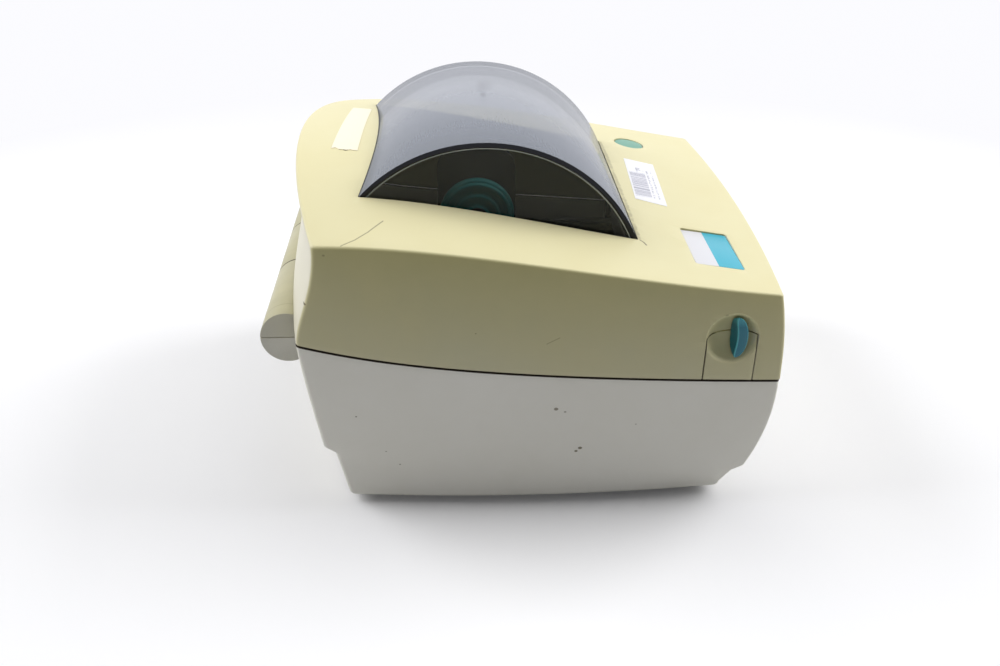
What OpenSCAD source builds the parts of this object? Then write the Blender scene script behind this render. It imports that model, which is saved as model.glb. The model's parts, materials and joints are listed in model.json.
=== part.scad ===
// Desktop thermal label printer: hinged lid with a smoked window over a roll of labels,
// sprung print head in the lid, platen and drive in the base.
// Front is -Y, up is +Z, the feet stand on Z = 0, and all sizes are millimetres.

/* [Body] */
// Width between the upright corners
body_w = 197.6; // [190:0.1:206]
// Depth between the upright corners at the parting line
body_d = 192.5; // [188:0.1:200]
// Middle of that depth, measured from the origin
body_shift = -6.4; // [-8:0.1:-5]
// Outward bow of each side
side_bow = 4; // [1:0.5:6]
// Outward bow of the front
front_bow = 4.4; // [1:0.1:8]
// Outward bow of the rear
rear_bow = 13.6; // [12:0.1:16]
// Size of the rounding on the upright corners
corner_r = 4; // [2:0.5:8]
// Thickness of the moulded walls
wall = 2.6; // [2:0.1:3.2]
// Height of the rubber feet
foot_h = 3; // [2:0.5:5]
// Diameter of the rubber feet
foot_d = 16; // [10:1:20]

/* [Parting line] */
// Height of the parting line at the front corners
part_front_z = 61.8; // [60:0.1:64]
// Straight rise of the parting line towards the rear
part_rise = 13.4; // [10:0.1:16]
// Extra upward kick of the parting line at the rear
part_kick = 6.8; // [3:0.1:9]
// Open seam between lid and base
seam = 0.6; // [0.4:0.1:1]

/* [Lid] */
// Height of the lid's side edge at the front corners
edge_front_z = 99.9; // [97:0.1:104]
// Straight rise of that edge towards the rear
edge_rise = 28.5; // [24:0.1:32]
// Swell of that edge over the middle
edge_swell = 13; // [9:0.1:16]
// Fall of that edge at the rear
edge_fall = 18.5; // [14:0.1:22]
// Crown of the lid's top at the front
crown_front = 1.2; // [0.5:0.1:4]
// Crown of the lid's top at the rear
crown_rear = 15; // [10:0.1:17]
// How far the lid's front wall leans back
front_tuck = 3; // [1:0.1:5]
// How far the lid's rear wall sweeps in above the hinge
rear_ogee = 8.8; // [5:0.1:11]
// Rounding of the lid's top edge
edge_r = 2; // [1:0.1:3]

/* [Base] */
// Height of the step around the base at its front
step_front_z = 16.8; // [15:0.1:19]
// Rise of the step towards the rear
step_rise = 15.3; // [12:0.1:17]
// Height of the ledge under the step
step_drop = 3.2; // [2:0.1:4]
// How far the step goes in at front and rear
step_in = 4.6; // [3:0.1:6]
// Taper of the front wall down to the step
front_rake = 8.7; // [5:0.1:10]
// Taper of the rear wall down to the step
rear_rake = 7.2; // [5:0.1:9]
// Taper of each side down to the step
side_rake = 4.7; // [3:0.1:6]
// Taper of the walls below the step
skirt_rake = 4; // [2:0.1:6]

/* [Window] */
// Outer radius of the smoked window
window_r = 68; // [67:0.1:69]
// Length of the window across the lid
window_w = 129.2; // [128:0.1:132]
// Thickness of the window
window_t = 2; // [1.5:0.1:2.4]
// Depth of the window's skirt under the lid
window_skirt = 6; // [4:0.5:8]
// Clearance around the window
fit = 0.3; // [0.2:0.05:0.4]

/* [Hinge] */
// Radius of the hinge barrel
barrel_r = 11; // [10:0.1:11.2]
// Length of the hinge barrel
barrel_w = 155.4; // [140:0.2:160]
// Length of the lid's own knuckle in the middle
knuckle_w = 46; // [36:0.5:56]
// Hinge axis, front to rear
hinge_y = 96.4; // [95:0.1:97]
// Hinge axis, height
hinge_z = 74.9; // [74:0.1:76]
// Hinge pin diameter
pin_d = 6; // [4:0.5:8]
// Radial running clearance of pins and shafts
run = 0.05; // [0.02:0.01:0.08]

/* [Media] */
// Largest roll diameter
roll_d = 127; // [120:1:127]
// Gap between the two hangers at their widest
media_w = 110; // [108:0.5:112]
// Travel of each hanger towards the middle
hanger_travel = 40; // [30:1:40]
// Width of a hanger arm
arm_w = 40; // [34:1:42]
// Thickness of a hanger arm
arm_t = 4; // [3:0.5:4]
// Height of the hub axis
hub_z = 76.1; // [74:0.1:78]
// Height of the top of the hanger arms
arm_top_z = 111; // [106:0.5:112]
// Flange radius of the roll hub
hub_r = 19.4; // [18:0.1:20]
// Core radius that the hub fits
core_r = 12.7; // [12:0.1:13]

/* [Printing] */
// Platen axis, front to rear
platen_y = -86; // [-87:0.1:-85]
// Platen axis, height
platen_z = 56; // [55:0.1:56.5]
// Platen diameter
platen_d = 14; // [13:0.1:14]
// Length of the platen rubber
platen_w = 108; // [100:0.5:110]
// Diameter of the platen shaft and gear shafts
shaft_d = 6; // [5:0.5:6]
// Gear module
gear_m = 1; // [1:1:1]
// Platen gear teeth
platen_teeth = 20; // [18:1:20]
// Idler gear teeth
idler_teeth = 40; // [38:1:40]
// Motor gear teeth
motor_teeth = 14; // [14:1:15]
// Rack pinion teeth
rack_teeth = 20; // [20:2:20]
// Travel of a latch when it is pulled
latch_travel = 2.6; // [2:0.1:2.8]
// Travel of the feed button
button_travel = 1.2; // [0.8:0.1:1.4]
// Diameter of the feed button
button_d = 15; // [13:0.1:16]
// Diameter of the latch dish
dish_d = 20.5; // [20:0.1:21]

/* [Hidden] */
$fn = 64;
eps = 0.01;
far = 400;

// Body outline
front_y = body_shift - body_d / 2;
rear_y = body_shift + body_d / 2;
end_n = 12;
side_n = 8;
corner_n = 3;

// Roll and hangers
roll_y = body_shift + 21.8;
roll_z = hub_z;
window_z = hub_z + 7.8;
well_r = roll_d / 2 + 2;
well_t = 2;
floor_z = foot_h + wall;
chassis_z = floor_z + fit;
chassis_floor = 1.5;
plate_t = 3;
bay_half = window_w / 2 + 1.4;
rack_z = chassis_z + chassis_floor + fit;
rack_h = 3.5;
rack_back = 4;
arm_z = rack_z + rack_h + fit;
hanger_x = media_w / 2;
pinion_r = gear_m * rack_teeth / 2;
hub_pin_r = 4;

// Drive
shaft_r = shaft_d / 2;
half_w = body_w / 2;
// The drive and the latches share the room between the side frame and the case
side_room = half_w + side_bow - side_rake - wall - bay_half - plate_t;
room_share = side_room / 26.5;
gear_gap = 3 * room_share;
gear_x = bay_half + plate_t + gear_gap;
gear_t = 5 * room_share;
gear_addendum = 0.8 * gear_m;
gear_dedendum = 1.15 * gear_m;
backlash = 0.16;
gear_plate_x = gear_x + gear_t + gear_gap;
gear_plate_t = 1.5 * room_share;
platen_idler = gear_m * (platen_teeth + idler_teeth) / 2;
idler_motor = gear_m * (idler_teeth + motor_teeth) / 2;
idler_dir = -36;
motor_dir = 5;
idler_at = [platen_y + platen_idler * cos(idler_dir), platen_z + platen_idler * sin(idler_dir)];
motor_at = idler_at + idler_motor * [cos(motor_dir), sin(motor_dir)];
motor_r = 17.5;
motor_l = 12 * room_share;
idler_turn = idler_dir + 180 + 180 / idler_teeth;
tooth_step = 360 / idler_teeth;
motor_lag = (motor_dir - idler_turn) - tooth_step * round((motor_dir - idler_turn) / tooth_step);
motor_turn = motor_dir + 180 + motor_lag * idler_teeth / motor_teeth + 180 / motor_teeth;
bush_r = shaft_r + 2;
seat_gap = 0.02;
axle_end_r = shaft_r - 0.5;
post_d = 6;
post_at = [[-84, 26], [-40, 56], [-8, 44], [-40, 12]];

// Print head
nip_z = platen_z + platen_d / 2;
slot_down = 2.5;
slot_up = 6;
head_y = platen_y + 28;
head_z = nip_z + 13;
head_half = platen_w / 2;
head_axle_r = 2;
element_t = 1.7;
carrier_z = nip_z + fit + element_t;
carrier_t = 1.5;
sink_top_z = carrier_z + carrier_t + 9;
frame_z = head_z + 12;
frame_t = 2;
frame_half = head_half + 9;
frame_front = platen_y - 8;
frame_rear = head_y + 6;
spring_x = 34;
spring_y = platen_y + 5;

// Hinge
pin_r = pin_d / 2;
barrel_half = barrel_w / 2;
knuckle_half = knuckle_w / 2;
barrel_gap = 0.4;
end_disc = 2.5;
foot_seat = 0.6;

// Latches
dish_y = front_y + 21.4;
dish_z = part_front_z + 20.6;
dish_r = dish_d / 2;
dish_depth = 7 * room_share;
bowl_r = (dish_r * dish_r + dish_depth * dish_depth) / (2 * dish_depth);
bowl_t = 1.6;
panel_front = dish_y - 10.2;
panel_rear = dish_y + 10.2;
panel_seam = 0.4;
tab_front = 6.3;
tab_r = 8.6;
tab_rear_r = 11.5;
tab_rear = 0.6;
tab_depth = 5.5;
slide_in = 10.4 * room_share;
slide_t = 2 * room_share;
hook_z = part_front_z - 12;
hook_reach = 3;
latch_gap = 0.5;

// Button and badge
button_at = [half_w - slide_in - slide_t - 15.4, front_y + 38.4];
button_board_drop = 12;
post_x = min(frame_half - 8, button_at[0] - 16);
badge_at = [37.1 - half_w, front_y + 24.2];
badge_size = [36, 19.9];
badge_t = 0.6;
badge_depth = 1;

// Main board, upright on the left between the side frame and the case
board_gap = 4.5;
board_x = bay_half + plate_t + (side_room - skirt_rake - board_gap) * 14.9 / 18;
board_t = 1.6;
board_y = [-60, 68];
board_z = [10, 56];
board_in = 8;
board_room = board_x - bay_half - plate_t - 4.9;

// Rear ports
panel_half = 68;
panel_low = step_front_z + step_rise + 4.9;
panel_high = hinge_z - barrel_r - 3.9;
panel_mid = (panel_low + panel_high) / 2;
panel_y = hinge_y - 8.4;
panel_t = 2;
switch_x = -53;
inlet_x = -34;
serial_x = -4;
parallel_x = 40;

// ---------- outline functions ----------
function along(y) = (y - front_y) / body_d;
function late(y) = max(along(y), 0);
function part_z(y) = part_front_z + part_rise * along(y) + part_kick * pow(late(y), 5);
function edge_z(y) = edge_front_z + edge_rise * along(y) + edge_swell * pow(along(y), 2)
  - edge_fall * pow(late(y), 4);
function crown(y) = crown_front + (crown_rear - crown_front) * pow(late(y), 2);
function top_z(x, y) = edge_z(y) + crown(y) * (1 - pow(x / half_w, 2));
function top_slope(y) = atan((edge_z(y + 1) - edge_z(y - 1)) / 2);
function step_z(y) = step_front_z + step_rise * along(y);
function lid_front(w) = front_y - 0.4 + front_tuck * pow(max(w - 0.2, 0) / 0.8, 2);
function lid_rear(w) = rear_y - rear_ogee * (1 - cos(180 * pow(w, 0.85))) / 2;
function bowed(y, h, yf, yr) = h + side_bow * (1 - pow((2 * y - yf - yr) / (yr - yf), 2));
function side_x(y) = bowed(y, half_w, front_y, rear_y);
function mix(a, b, t) = a + (b - a) * t;

// Points of a quadratic curve from a to c, drawn towards b, without its ends
function curve(a, b, c) = [for (i = [1:corner_n - 1])
  let (t = i / corner_n) a * pow(1 - t, 2) + b * 2 * t * (1 - t) + c * t * t];

// Plan outline with bowed sides: half width h, front corners at yf, rear corners at yr
function outline(h, yf, yr) =
  let (r = corner_r,
       front = [for (i = [0:end_n]) let (x = (h - r) * (2 * i / end_n - 1))
         [x, yf - front_bow * (1 - pow(x / h, 2))]],
       right = [for (i = [0:side_n]) let (y = mix(yf + r, yr - r, i / side_n))
         [bowed(y, h, yf, yr), y]],
       rear = [for (i = [0:end_n]) let (x = (h - r) * (1 - 2 * i / end_n))
         [x, yr + rear_bow * (1 - pow(x / h, 2))]],
       left = [for (i = [0:side_n]) let (y = mix(yr - r, yf + r, i / side_n))
         [-bowed(y, h, yf, yr), y]])
  concat(front, curve(front[end_n], [h, yf], right[0]), right,
         curve(right[side_n], [h, yr], rear[0]), rear,
         curve(rear[end_n], [-h, yr], left[0]), left,
         curve(left[side_n], [-h, yf], front[0]));

function shrink(ring, s) = [for (p = ring) [p[0] * s, mix(body_shift, p[1], s)]];

// Closed solid through a stack of rings with equal numbers of points
module loft(rings, first_z, last_z) {
  n = len(rings[0]);
  m = len(rings);
  points = concat([for (r = rings) each r], [[0, body_shift, first_z], [0, body_shift, last_z]]);
  faces = concat(
    [for (j = [0:m - 2]) for (i = [0:n - 1]) let (k = (i + 1) % n)
      each [[j * n + i, (j + 1) * n + i, (j + 1) * n + k], [j * n + i, (j + 1) * n + k, j * n + k]]],
    [for (i = [0:n - 1]) [m * n, i, (i + 1) % n]],
    [for (i = [0:n - 1]) [m * n + 1, (m - 1) * n + (i + 1) % n, (m - 1) * n + i]]);
  polyhedron(points = points, faces = faces, convexity = 6);
}

// Lid as a closed block, set in from its outer surface and carried down by "below"
module lid_block(in = 0, below = 0, coarse = false) {
  levels = coarse ? [0, 0.25, 0.5, 0.75, 1] : [0, 0.15, 0.3, 0.45, 0.6, 0.75, 0.9, 1];
  shrinks = coarse ? [0.8, 0.6, 0.4, 0.2] : [0.9, 0.75, 0.6, 0.45, 0.3, 0.15];
  er = coarse ? edge_r / 4 : edge_r;
  function plan(w, q) = outline(half_w - in - q, lid_front(w) + in + q, lid_rear(w) - in - q);
  function low_z(y) = part_z(y) + seam / 2 - below;
  walls = [for (w = levels) [for (p = plan(w, 0))
    [p[0], p[1], mix(low_z(p[1]), top_z(p[0], p[1]) - in - er, w)]]];
  rounds = [for (a = [30, 60, 90]) [for (p = plan(1, er * (1 - cos(a))))
    [p[0], p[1], top_z(p[0], p[1]) - in - er * (1 - sin(a))]]];
  tops = [for (s = shrinks) [for (p = shrink(plan(1, er), s))
    [p[0], p[1], top_z(p[0], p[1]) - in]]];
  under = [for (p = shrink(plan(0, 0), 0.9)) [p[0], p[1], low_z(p[1])]];
  loft(concat([under], walls, rounds, tops), low_z(body_shift), top_z(0, body_shift) - in);
}

// Base as a closed block, set in from its outer surface; "above" lifts its open top
module base_block(in = 0, above = 0, coarse = false) {
  levels = coarse ? [0, 0.3, 0.65, 1] : [0, 0.15, 0.35, 0.55, 0.75, 0.9, 1];
  low = foot_h + in;
  er = coarse ? 1 : 3;
  function high_z(y) = part_z(y) - seam / 2 + above;
  function plan(s, q, d) = outline(half_w - 0.2 - side_rake * s * s - q - in,
    front_y - 0.1 + front_rake * s * s + q + d + in,
    rear_y + 0.1 - rear_rake * s - q - d - in);
  upper = [for (s = levels) [for (p = plan(s, 0, 0))
    [p[0], p[1], mix(high_z(p[1]), step_z(p[1]), s)]]];
  function skirt(t) = [for (p = plan(1, 0.8 + skirt_rake * t, step_in - 0.8))
    [p[0], p[1], mix(step_z(p[1]) - step_drop, low + er, t)]];
  foot = [for (a = [45, 90]) [for (p = plan(1, 0.8 + skirt_rake + er * (1 - cos(a)), step_in - 0.8))
    [p[0], p[1], low + er * (1 - sin(a))]]];
  over = [for (p = shrink(plan(0, 0, 0), 0.9)) [p[0], p[1], high_z(p[1])]];
  under = [for (p = shrink(foot[1], 0.6)) [p[0], p[1], low]];
  loft(reversed(concat([over], upper, [skirt(0), skirt(0.5), skirt(1)], foot, [under])),
    low, high_z(body_shift));
}
function reversed(list) = [for (i = [len(list) - 1:-1:0]) list[i]];

// ---------- helpers ----------
// Slab along X of a shape drawn as [y, z]
module along_x(x0, x1) {
  translate([x0, 0, 0]) rotate([90, 0, 90]) linear_extrude(x1 - x0) children();
}
// Round bar along X
module bar_x(x0, x1, at, r) {
  translate([x0, at[0], at[1]]) rotate([0, 90, 0]) cylinder(r = r, h = x1 - x0);
}
// Box given by its two corners
module block(a, b) {
  translate(a) cube(b - a);
}
// Leaves the left-hand piece as it is, or mirrors it to the right
module on_side(side) {
  if (side < 0) children();
  else mirror([1, 0, 0]) children();
}

// Involute outline of a spur gear with a tooth centred on +X
function involute(rb, r) = let (t = sqrt(max(r * r / (rb * rb) - 1, 0))) t * 180 / PI - atan(t);
module gear_shape(teeth) {
  rp = gear_m * teeth / 2;
  rb = rp * cos(20);
  tip = rp + gear_addendum;
  root = rp - gear_dedendum;
  half_tooth = (90 - backlash / gear_m * 90 / PI) / teeth + involute(rb, rp);
  radii = [max(rb, root), mix(max(rb, root), tip, 0.4), mix(max(rb, root), tip, 0.75), tip];
  polygon([for (i = [0:teeth - 1]) let (a = i * 360 / teeth) each concat(
    [let (f = a - half_tooth) root * [cos(f), sin(f)]],
    [for (r = radii) let (f = a - half_tooth + involute(rb, r)) r * [cos(f), sin(f)]],
    [for (r = reversed(radii)) let (f = a + half_tooth - involute(rb, r)) r * [cos(f), sin(f)]],
    [let (f = a + half_tooth) root * [cos(f), sin(f)]])]);
}

// Spur gear on an X axis, with a hub and lightening holes when it is large
module gear(teeth, at, turn, bore_r) {
  rim = gear_m * teeth / 2 - gear_dedendum - 2;
  along_x(gear_x, gear_x + gear_t) translate(at) rotate(turn) difference() {
    gear_shape(teeth);
    circle(r = bore_r);
    if (rim > 12) for (a = [0:60:300]) rotate(a) translate([(rim + bore_r + 2) / 2, 0])
      circle(r = (rim - bore_r - 2) / 2 - 1.5);
  }
}

// Coil spring along +Z from the origin
module coil(r, wire, length, turns) {
  steps = 10;
  n = steps * turns;
  sides = 6;
  function at(i, j) = let (a = i * 360 / steps, b = j * 360 / sides, q = r + wire / 2 * cos(b))
    [q * cos(a), q * sin(a), wire / 2 + (length - wire) * i / n + wire / 2 * sin(b)];
  polyhedron(points = [for (i = [0:n]) for (j = [0:sides - 1]) at(i, j)],
    faces = concat(
      [for (i = [0:n - 1]) for (j = [0:sides - 1]) let (k = (j + 1) % sides, a = i * sides)
        each [[a + j, a + k, a + sides + k], [a + j, a + sides + k, a + sides + j]]],
      [[for (j = [sides - 1:-1:0]) j], [for (j = [0:sides - 1]) n * sides + j]]));
}

// ---------- housing ----------
module barrel(x0, x1, r) {
  bar_x(x0, x1, [hinge_y, hinge_z], r);
}

// Fixed outer knuckle of the hinge on the left, above or below the axis
module outer_knuckle(upper) {
  intersection() {
    difference() {
      barrel(-barrel_half, -knuckle_half - barrel_gap, barrel_r);
      barrel(-barrel_half + end_disc, 0, pin_r + run);
    }
    block([-far, 0, upper ? hinge_z + 0.1 : 0], [0, far, upper ? far : hinge_z]);
  }
}

module base_case() {
  color("gainsboro") difference() {
    union() {
      difference() {
        base_block();
        base_block(wall, 8, true);
        barrel(-knuckle_half - barrel_gap, knuckle_half + barrel_gap, barrel_r + barrel_gap);
        for (s = [-1, 1]) on_side(s) intersection() {
          barrel(-barrel_half - fit, 0, barrel_r + fit);
          block([-far, 0, hinge_z], [0, far, far]);
        }
        block([-barrel_half, hinge_y + pin_r + 1, hinge_z], [barrel_half, far, far]);
        block([-panel_half, rear_y - 20, panel_low], [panel_half, far, panel_high]);
        block([-head_half - 2, -far, nip_z - slot_down], [head_half + 2, platen_y - 7, far]);
        foot_places() translate([0, 0, -1]) cylinder(d = foot_d + 2 * fit, h = foot_h + foot_seat + 1);
      }
      for (s = [-1, 1]) on_side(s) outer_knuckle(false);
      keepers();
    }
    barrel(-barrel_half + end_disc, barrel_half - end_disc, pin_r + run);
  }
}

// Catches on the side walls that the latch hooks draw under
module keepers() {
  intersection() {
    for (s = [-1, 1]) on_side(s) block([-far, dish_y + 4.8, hook_z],
      [-half_w + slide_in + slide_t, dish_y + 9, hook_z + 6]);
    base_block(wall / 2, 0, true);
  }
}

module foot_places() {
  for (x = [-1, 1]) for (y = [front_y + 41, rear_y - 40]) translate([x * (half_w - 29), y, 0])
    children();
}

module rubber_feet() {
  color("dimgray") foot_places() {
    cylinder(d = foot_d, h = foot_h + foot_seat);
  }
}

module hinge_pin() {
  color("silver") bar_x(-barrel_half + end_disc + fit, barrel_half - end_disc - fit,
    [hinge_y, hinge_z], pin_r);
}

module hinge_cap(side) {
  color("cornsilk") on_side(side) outer_knuckle(true);
}

module lid_cover() {
  color("cornsilk") {
    difference() {
      lid_block();
      lid_block(wall, 8, true);
      window_room();
      for (s = [-1, 1]) on_side(s) {
        barrel(-barrel_half - barrel_gap, -knuckle_half, barrel_r + barrel_gap);
        panel_space(panel_seam);
        bar_x(-far, -half_w + 12, [dish_y, dish_z], dish_r);
      }
      block([-head_half - 2, -far, 0], [head_half + 2, platen_y - 7, nip_z + slot_up]);
      button_place() translate([0, 0, -20]) cylinder(d = button_d + 2 * fit, h = 40);
      badge_place() translate([0, 0, -badge_depth]) badge_blank(0.2, 10);
      barrel(-knuckle_half, knuckle_half, pin_r + run);
    }
    difference() {
      barrel(-knuckle_half, knuckle_half, barrel_r);
      barrel(-far, far, pin_r + run);
    }
    for (s = [-1, 1]) on_side(s) dish_bowl(true);
    intersection() {
      union() {
        for (s = [-1, 1]) on_side(s) slide_rail();
        frame_posts();
        button_posts();
      }
      lid_block(wall / 2, 0, true);
    }
  }
}

// Room for the window, through the lid's top
module window_room() {
  bar_x(-window_w / 2 - fit, window_w / 2 + fit, [roll_y, window_z], window_r + fit);
}

module window() {
  color([0.35, 0.38, 0.42, 0.5]) difference() {
    bar_x(-window_w / 2, window_w / 2, [roll_y, window_z], window_r);
    bar_x(-window_w / 2 + window_t, window_w / 2 - window_t, [roll_y, window_z],
      window_r - window_t);
    translate([0, 0, -window_skirt]) lid_block(wall, 60, true);
  }
}

// ---------- latches ----------
// Space of the separate panel in the lid's left side, grown by a seam
module panel_space(grow) {
  along_x(-far, -half_w + 6) panel_shape(0, 0, grow);
}

// The panel seen from its side, with the heights of its lower corners at front and rear
module panel_shape(low_front, low_rear, grow) {
  top = dish_z - 0.9 + grow;
  polygon([[panel_front - grow, low_front], [panel_rear + grow, low_rear], [panel_rear + grow, top],
    [dish_y, dish_z + grow], [panel_front - grow, top]]);
}

// Hollow bowl behind the dish, its upper part on the lid and its lower part on the panel
module dish_bowl(upper) {
  surface_x = -side_x(dish_y);
  intersection() {
    difference() {
      bowl_ball(bowl_t);
      bowl_ball(0);
      stem_room();
    }
    if (upper) difference() {
      bar_x(surface_x + wall - 0.6, 0, [dish_y, dish_z], dish_r + bowl_t);
      panel_space(panel_seam);
    }
    else intersection() {
      bar_x(surface_x + wall - 0.6, 0, [dish_y, dish_z], dish_r + bowl_t);
      panel_space(0);
    }
  }
}

module bowl_ball(grow) {
  translate([dish_depth - bowl_r - side_x(dish_y), dish_y, dish_z]) sphere(r = bowl_r + grow);
}

// Slot in the bowl for the stem of the latch
module stem_room() {
  block([-far, dish_y - 3 - latch_travel - fit, dish_z - 4 - fit], [0, dish_y + fit, dish_z + 4 + fit]);
}

module latch_panel(side) {
  panel_ys = [for (i = [0:4]) mix(panel_front, panel_rear, i / 4)];
  color("cornsilk") on_side(side) {
    difference() {
      intersection() {
        linear_extrude(far) polygon(concat(
          [for (y = panel_ys) [-side_x(y), y]], [for (y = reversed(panel_ys)) [wall - side_x(y), y]]));
        along_x(-far, 0) panel_shape(part_z(panel_front) + seam / 2, part_z(panel_rear) + seam / 2, 0);
      }
      bar_x(-far, -half_w + 12, [dish_y, dish_z], dish_r);
    }
    dish_bowl(false);
  }
}

// Rail on the lid's side that guides the latch
module slide_rail() {
  block([-far, dish_y - 14, dish_z + 12 + fit],
    [-half_w + slide_in + slide_t + 2.5, dish_y + 24, dish_z + 15]);
}

// Teal crescent tab, its stem, the plate behind the bowl and the hook
module latch_slide(side) {
  surface_x = -side_x(dish_y);
  plate_x = -half_w + slide_in;
  color("darkcyan") on_side(side) {
    intersection() {
      along_x(surface_x + 0.2, surface_x + tab_depth) translate([dish_y, dish_z]) difference() {
        translate([tab_r - tab_front, 0]) circle(r = tab_r);
        translate([tab_rear + tab_rear_r, 0]) circle(r = tab_rear_r);
      }
      bowl_ball(-latch_gap);
      translate([0, latch_travel, 0]) bowl_ball(-latch_gap);
    }
    block([surface_x + 1, dish_y - 3, dish_z - 4], [plate_x, dish_y - 0.6, dish_z + 4]);
    difference() {
      block([plate_x, dish_y - 9, dish_z - 8], [plate_x + slide_t, dish_y + 10, dish_z + 12]);
      block([plate_x - 1, dish_y + 2, dish_z - 3], [plate_x + 5, dish_y + 7, dish_z + 7]);
    }
    block([plate_x, dish_y - 6, hook_z], [plate_x + slide_t, dish_y, dish_z - 8 + eps]);
    along_x(plate_x, plate_x + slide_t) polygon([[dish_y - eps, hook_z - 2],
      [dish_y + 4.8 - latch_gap, hook_z + 1], [dish_y + 4.8 - latch_gap, hook_z + 3],
      [dish_y - eps, hook_z + 3.5]]);
    block([plate_x, dish_y - 6, hook_z - 2], [plate_x + slide_t, dish_y, hook_z + 1]);
  }
}

module latch_spring(side) {
  color("silver") on_side(side)
    translate([-half_w + slide_in + slide_t / 2, dish_y + 10 + fit, dish_z + 2]) rotate([-90, 0, 0])
      coil(2.2, 0.7, 12, 6);
}

// ---------- print head and lid frame ----------
function frame_screws() = [for (x = [-post_x, post_x]) for (y = [frame_front + 8, frame_rear - 7])
  [x, y]];

module frame_posts() {
  for (p = frame_screws()) translate([p[0], p[1], frame_z + frame_t]) cylinder(r = 4, h = 40);
}

module lid_frame() {
  cheek_x = frame_half - plate_t;
  color("dimgray") {
    difference() {
      block([-frame_half, frame_front, frame_z], [frame_half, frame_rear, frame_z + frame_t]);
      for (p = frame_screws()) translate([p[0], p[1], frame_z - 1]) cylinder(r = 1.6, h = 10);
    }
    for (s = [-1, 1]) on_side(s) difference() {
      along_x(-frame_half, -cheek_x) polygon([[frame_front, frame_z + eps], [frame_rear, frame_z + eps],
        [frame_rear, head_z - 6], [head_y - 8, head_z - 6], [frame_front + 4, head_z + 3],
        [frame_front, head_z + 6]]);
      bar_x(-far, 0, [head_y, head_z], head_axle_r + run);
    }
    for (s = [-1, 1]) translate([s * spring_x, spring_y, frame_z - 2])
      cylinder(r = 2.4, h = 2 + eps);
  }
}

module head_axle() {
  color("silver") bar_x(-frame_half - 1, frame_half + 1, [head_y, head_z], head_axle_r);
}

module head_carrier() {
  ear_x = frame_half - plate_t - 1;
  color("silver") {
    block([-ear_x, platen_y - 6, carrier_z], [ear_x, head_y + 2, carrier_z + carrier_t]);
    for (s = [-1, 1]) on_side(s) difference() {
      along_x(-ear_x, -ear_x + 2) polygon([[head_y - 14, carrier_z + eps], [head_y + 2, carrier_z + eps],
        [head_y + 4, head_z + 4], [head_y - 4, head_z + 4]]);
      bar_x(-far, 0, [head_y, head_z], head_axle_r + run);
    }
  }
}

module head_sink() {
  fins = 14;
  low = carrier_z + carrier_t;
  color("lightgray") difference() {
    block([-head_half + 2, platen_y - 4, low], [head_half - 2, head_y - 12, sink_top_z]);
    for (i = [1:fins - 1]) let (x = mix(-head_half + 2, head_half - 2, i / fins))
      block([x - 2, platen_y - 5, low + 4], [x + 2, head_y - 11, sink_top_z + 1]);
  }
}

module thermal_element() {
  color("tan") difference() {
    block([-head_half, platen_y - 6, carrier_z - element_t], [head_half, head_y - 16, carrier_z]);
    block([-far, platen_y + 5, 0], [far, head_y - 13, carrier_z - element_t / 2]);
  }
}

module head_springs() {
  color("silver") for (s = [-1, 1]) translate([s * spring_x, spring_y, sink_top_z])
    coil(3.4, 0.9, frame_z - sink_top_z, 4);
}

// ---------- button and badge ----------
module button_place() {
  translate([button_at[0], button_at[1], top_z(button_at[0], button_at[1])])
    rotate([top_slope(button_at[1]), 0, 0]) children();
}

module feed_button() {
  color("mediumaquamarine") button_place() rotate_extrude() polygon([[0, -8], [2, -8], [2, -5],
    [button_d / 2 + 2, -5], [button_d / 2 + 2, -wall - 1], [button_d / 2, -wall - 1],
    [button_d / 2, 0.6], [button_d / 2 - 0.8, 1.4], [0, 1.8]]);
}

module button_board() {
  color("darkgreen") button_place() {
    block([-10, -12, -button_board_drop - 1.6], [12, 12, -button_board_drop]);
    block([-3.1, -3.1, -button_board_drop - eps], [3.1, 3.1, -8 - button_travel - fit]);
  }
}

module button_posts() {
  button_place() for (x = [-7, 9]) translate([x, 9.5, -button_board_drop]) cylinder(r = 2, h = 30);
}

module badge_place() {
  translate([badge_at[0], badge_at[1], top_z(badge_at[0], badge_at[1])])
    rotate([top_slope(badge_at[1]), 0, 0]) children();
}

// Rounded plate of the badge, grown all round
module badge_blank(grow, h) {
  r = 1.5 + grow;
  x = badge_size[0] / 2 + grow - r;
  y = badge_size[1] / 2 + grow - r;
  linear_extrude(h) {
    square([2 * x, 2 * (y + r)], center = true);
    square([2 * (x + r), 2 * y], center = true);
    for (a = [-x, x]) for (b = [-y, y]) translate([a, b]) circle(r = r);
  }
}

module badge_plate() {
  color("lightcyan") badge_place() translate([0, 0, -badge_depth]) badge_blank(0, badge_t);
}

// ---------- chassis and roll well ----------
// Upright plate beside the roll, with the seat of a platen bush and posts on its outer side
module side_frame(side) {
  color([0.16, 0.16, 0.17]) {
    on_side(side) difference() {
      along_x(-bay_half - plate_t, -bay_half) polygon(concat(
        [[rear_y - 20, chassis_z], [rear_y - 20, part_z(rear_y - 20) - 12]],
        [for (i = [0:6]) let (y = mix(roll_y + 30, platen_y + 10, i / 6)) [y, part_z(y) - 1.5]],
        [[platen_y - 8, nip_z - 1.6], [platen_y - 10, platen_z - 6], [platen_y + 4, chassis_z + 8],
         [platen_y + 12, chassis_z]]));
      bar_x(-far, 0, [platen_y, platen_z], bush_r + seat_gap);
      if (side > 0) bar_x(-far, 0, idler_at, axle_end_r + seat_gap);
    }
    if (side < 0) for (p = board_posts()) bar_x(-board_x, -bay_half - 1, p, post_d / 2);
    if (side > 0) for (p = post_at) bar_x(bay_half + 1, gear_plate_x, p, post_d / 2);
  }
}

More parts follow.
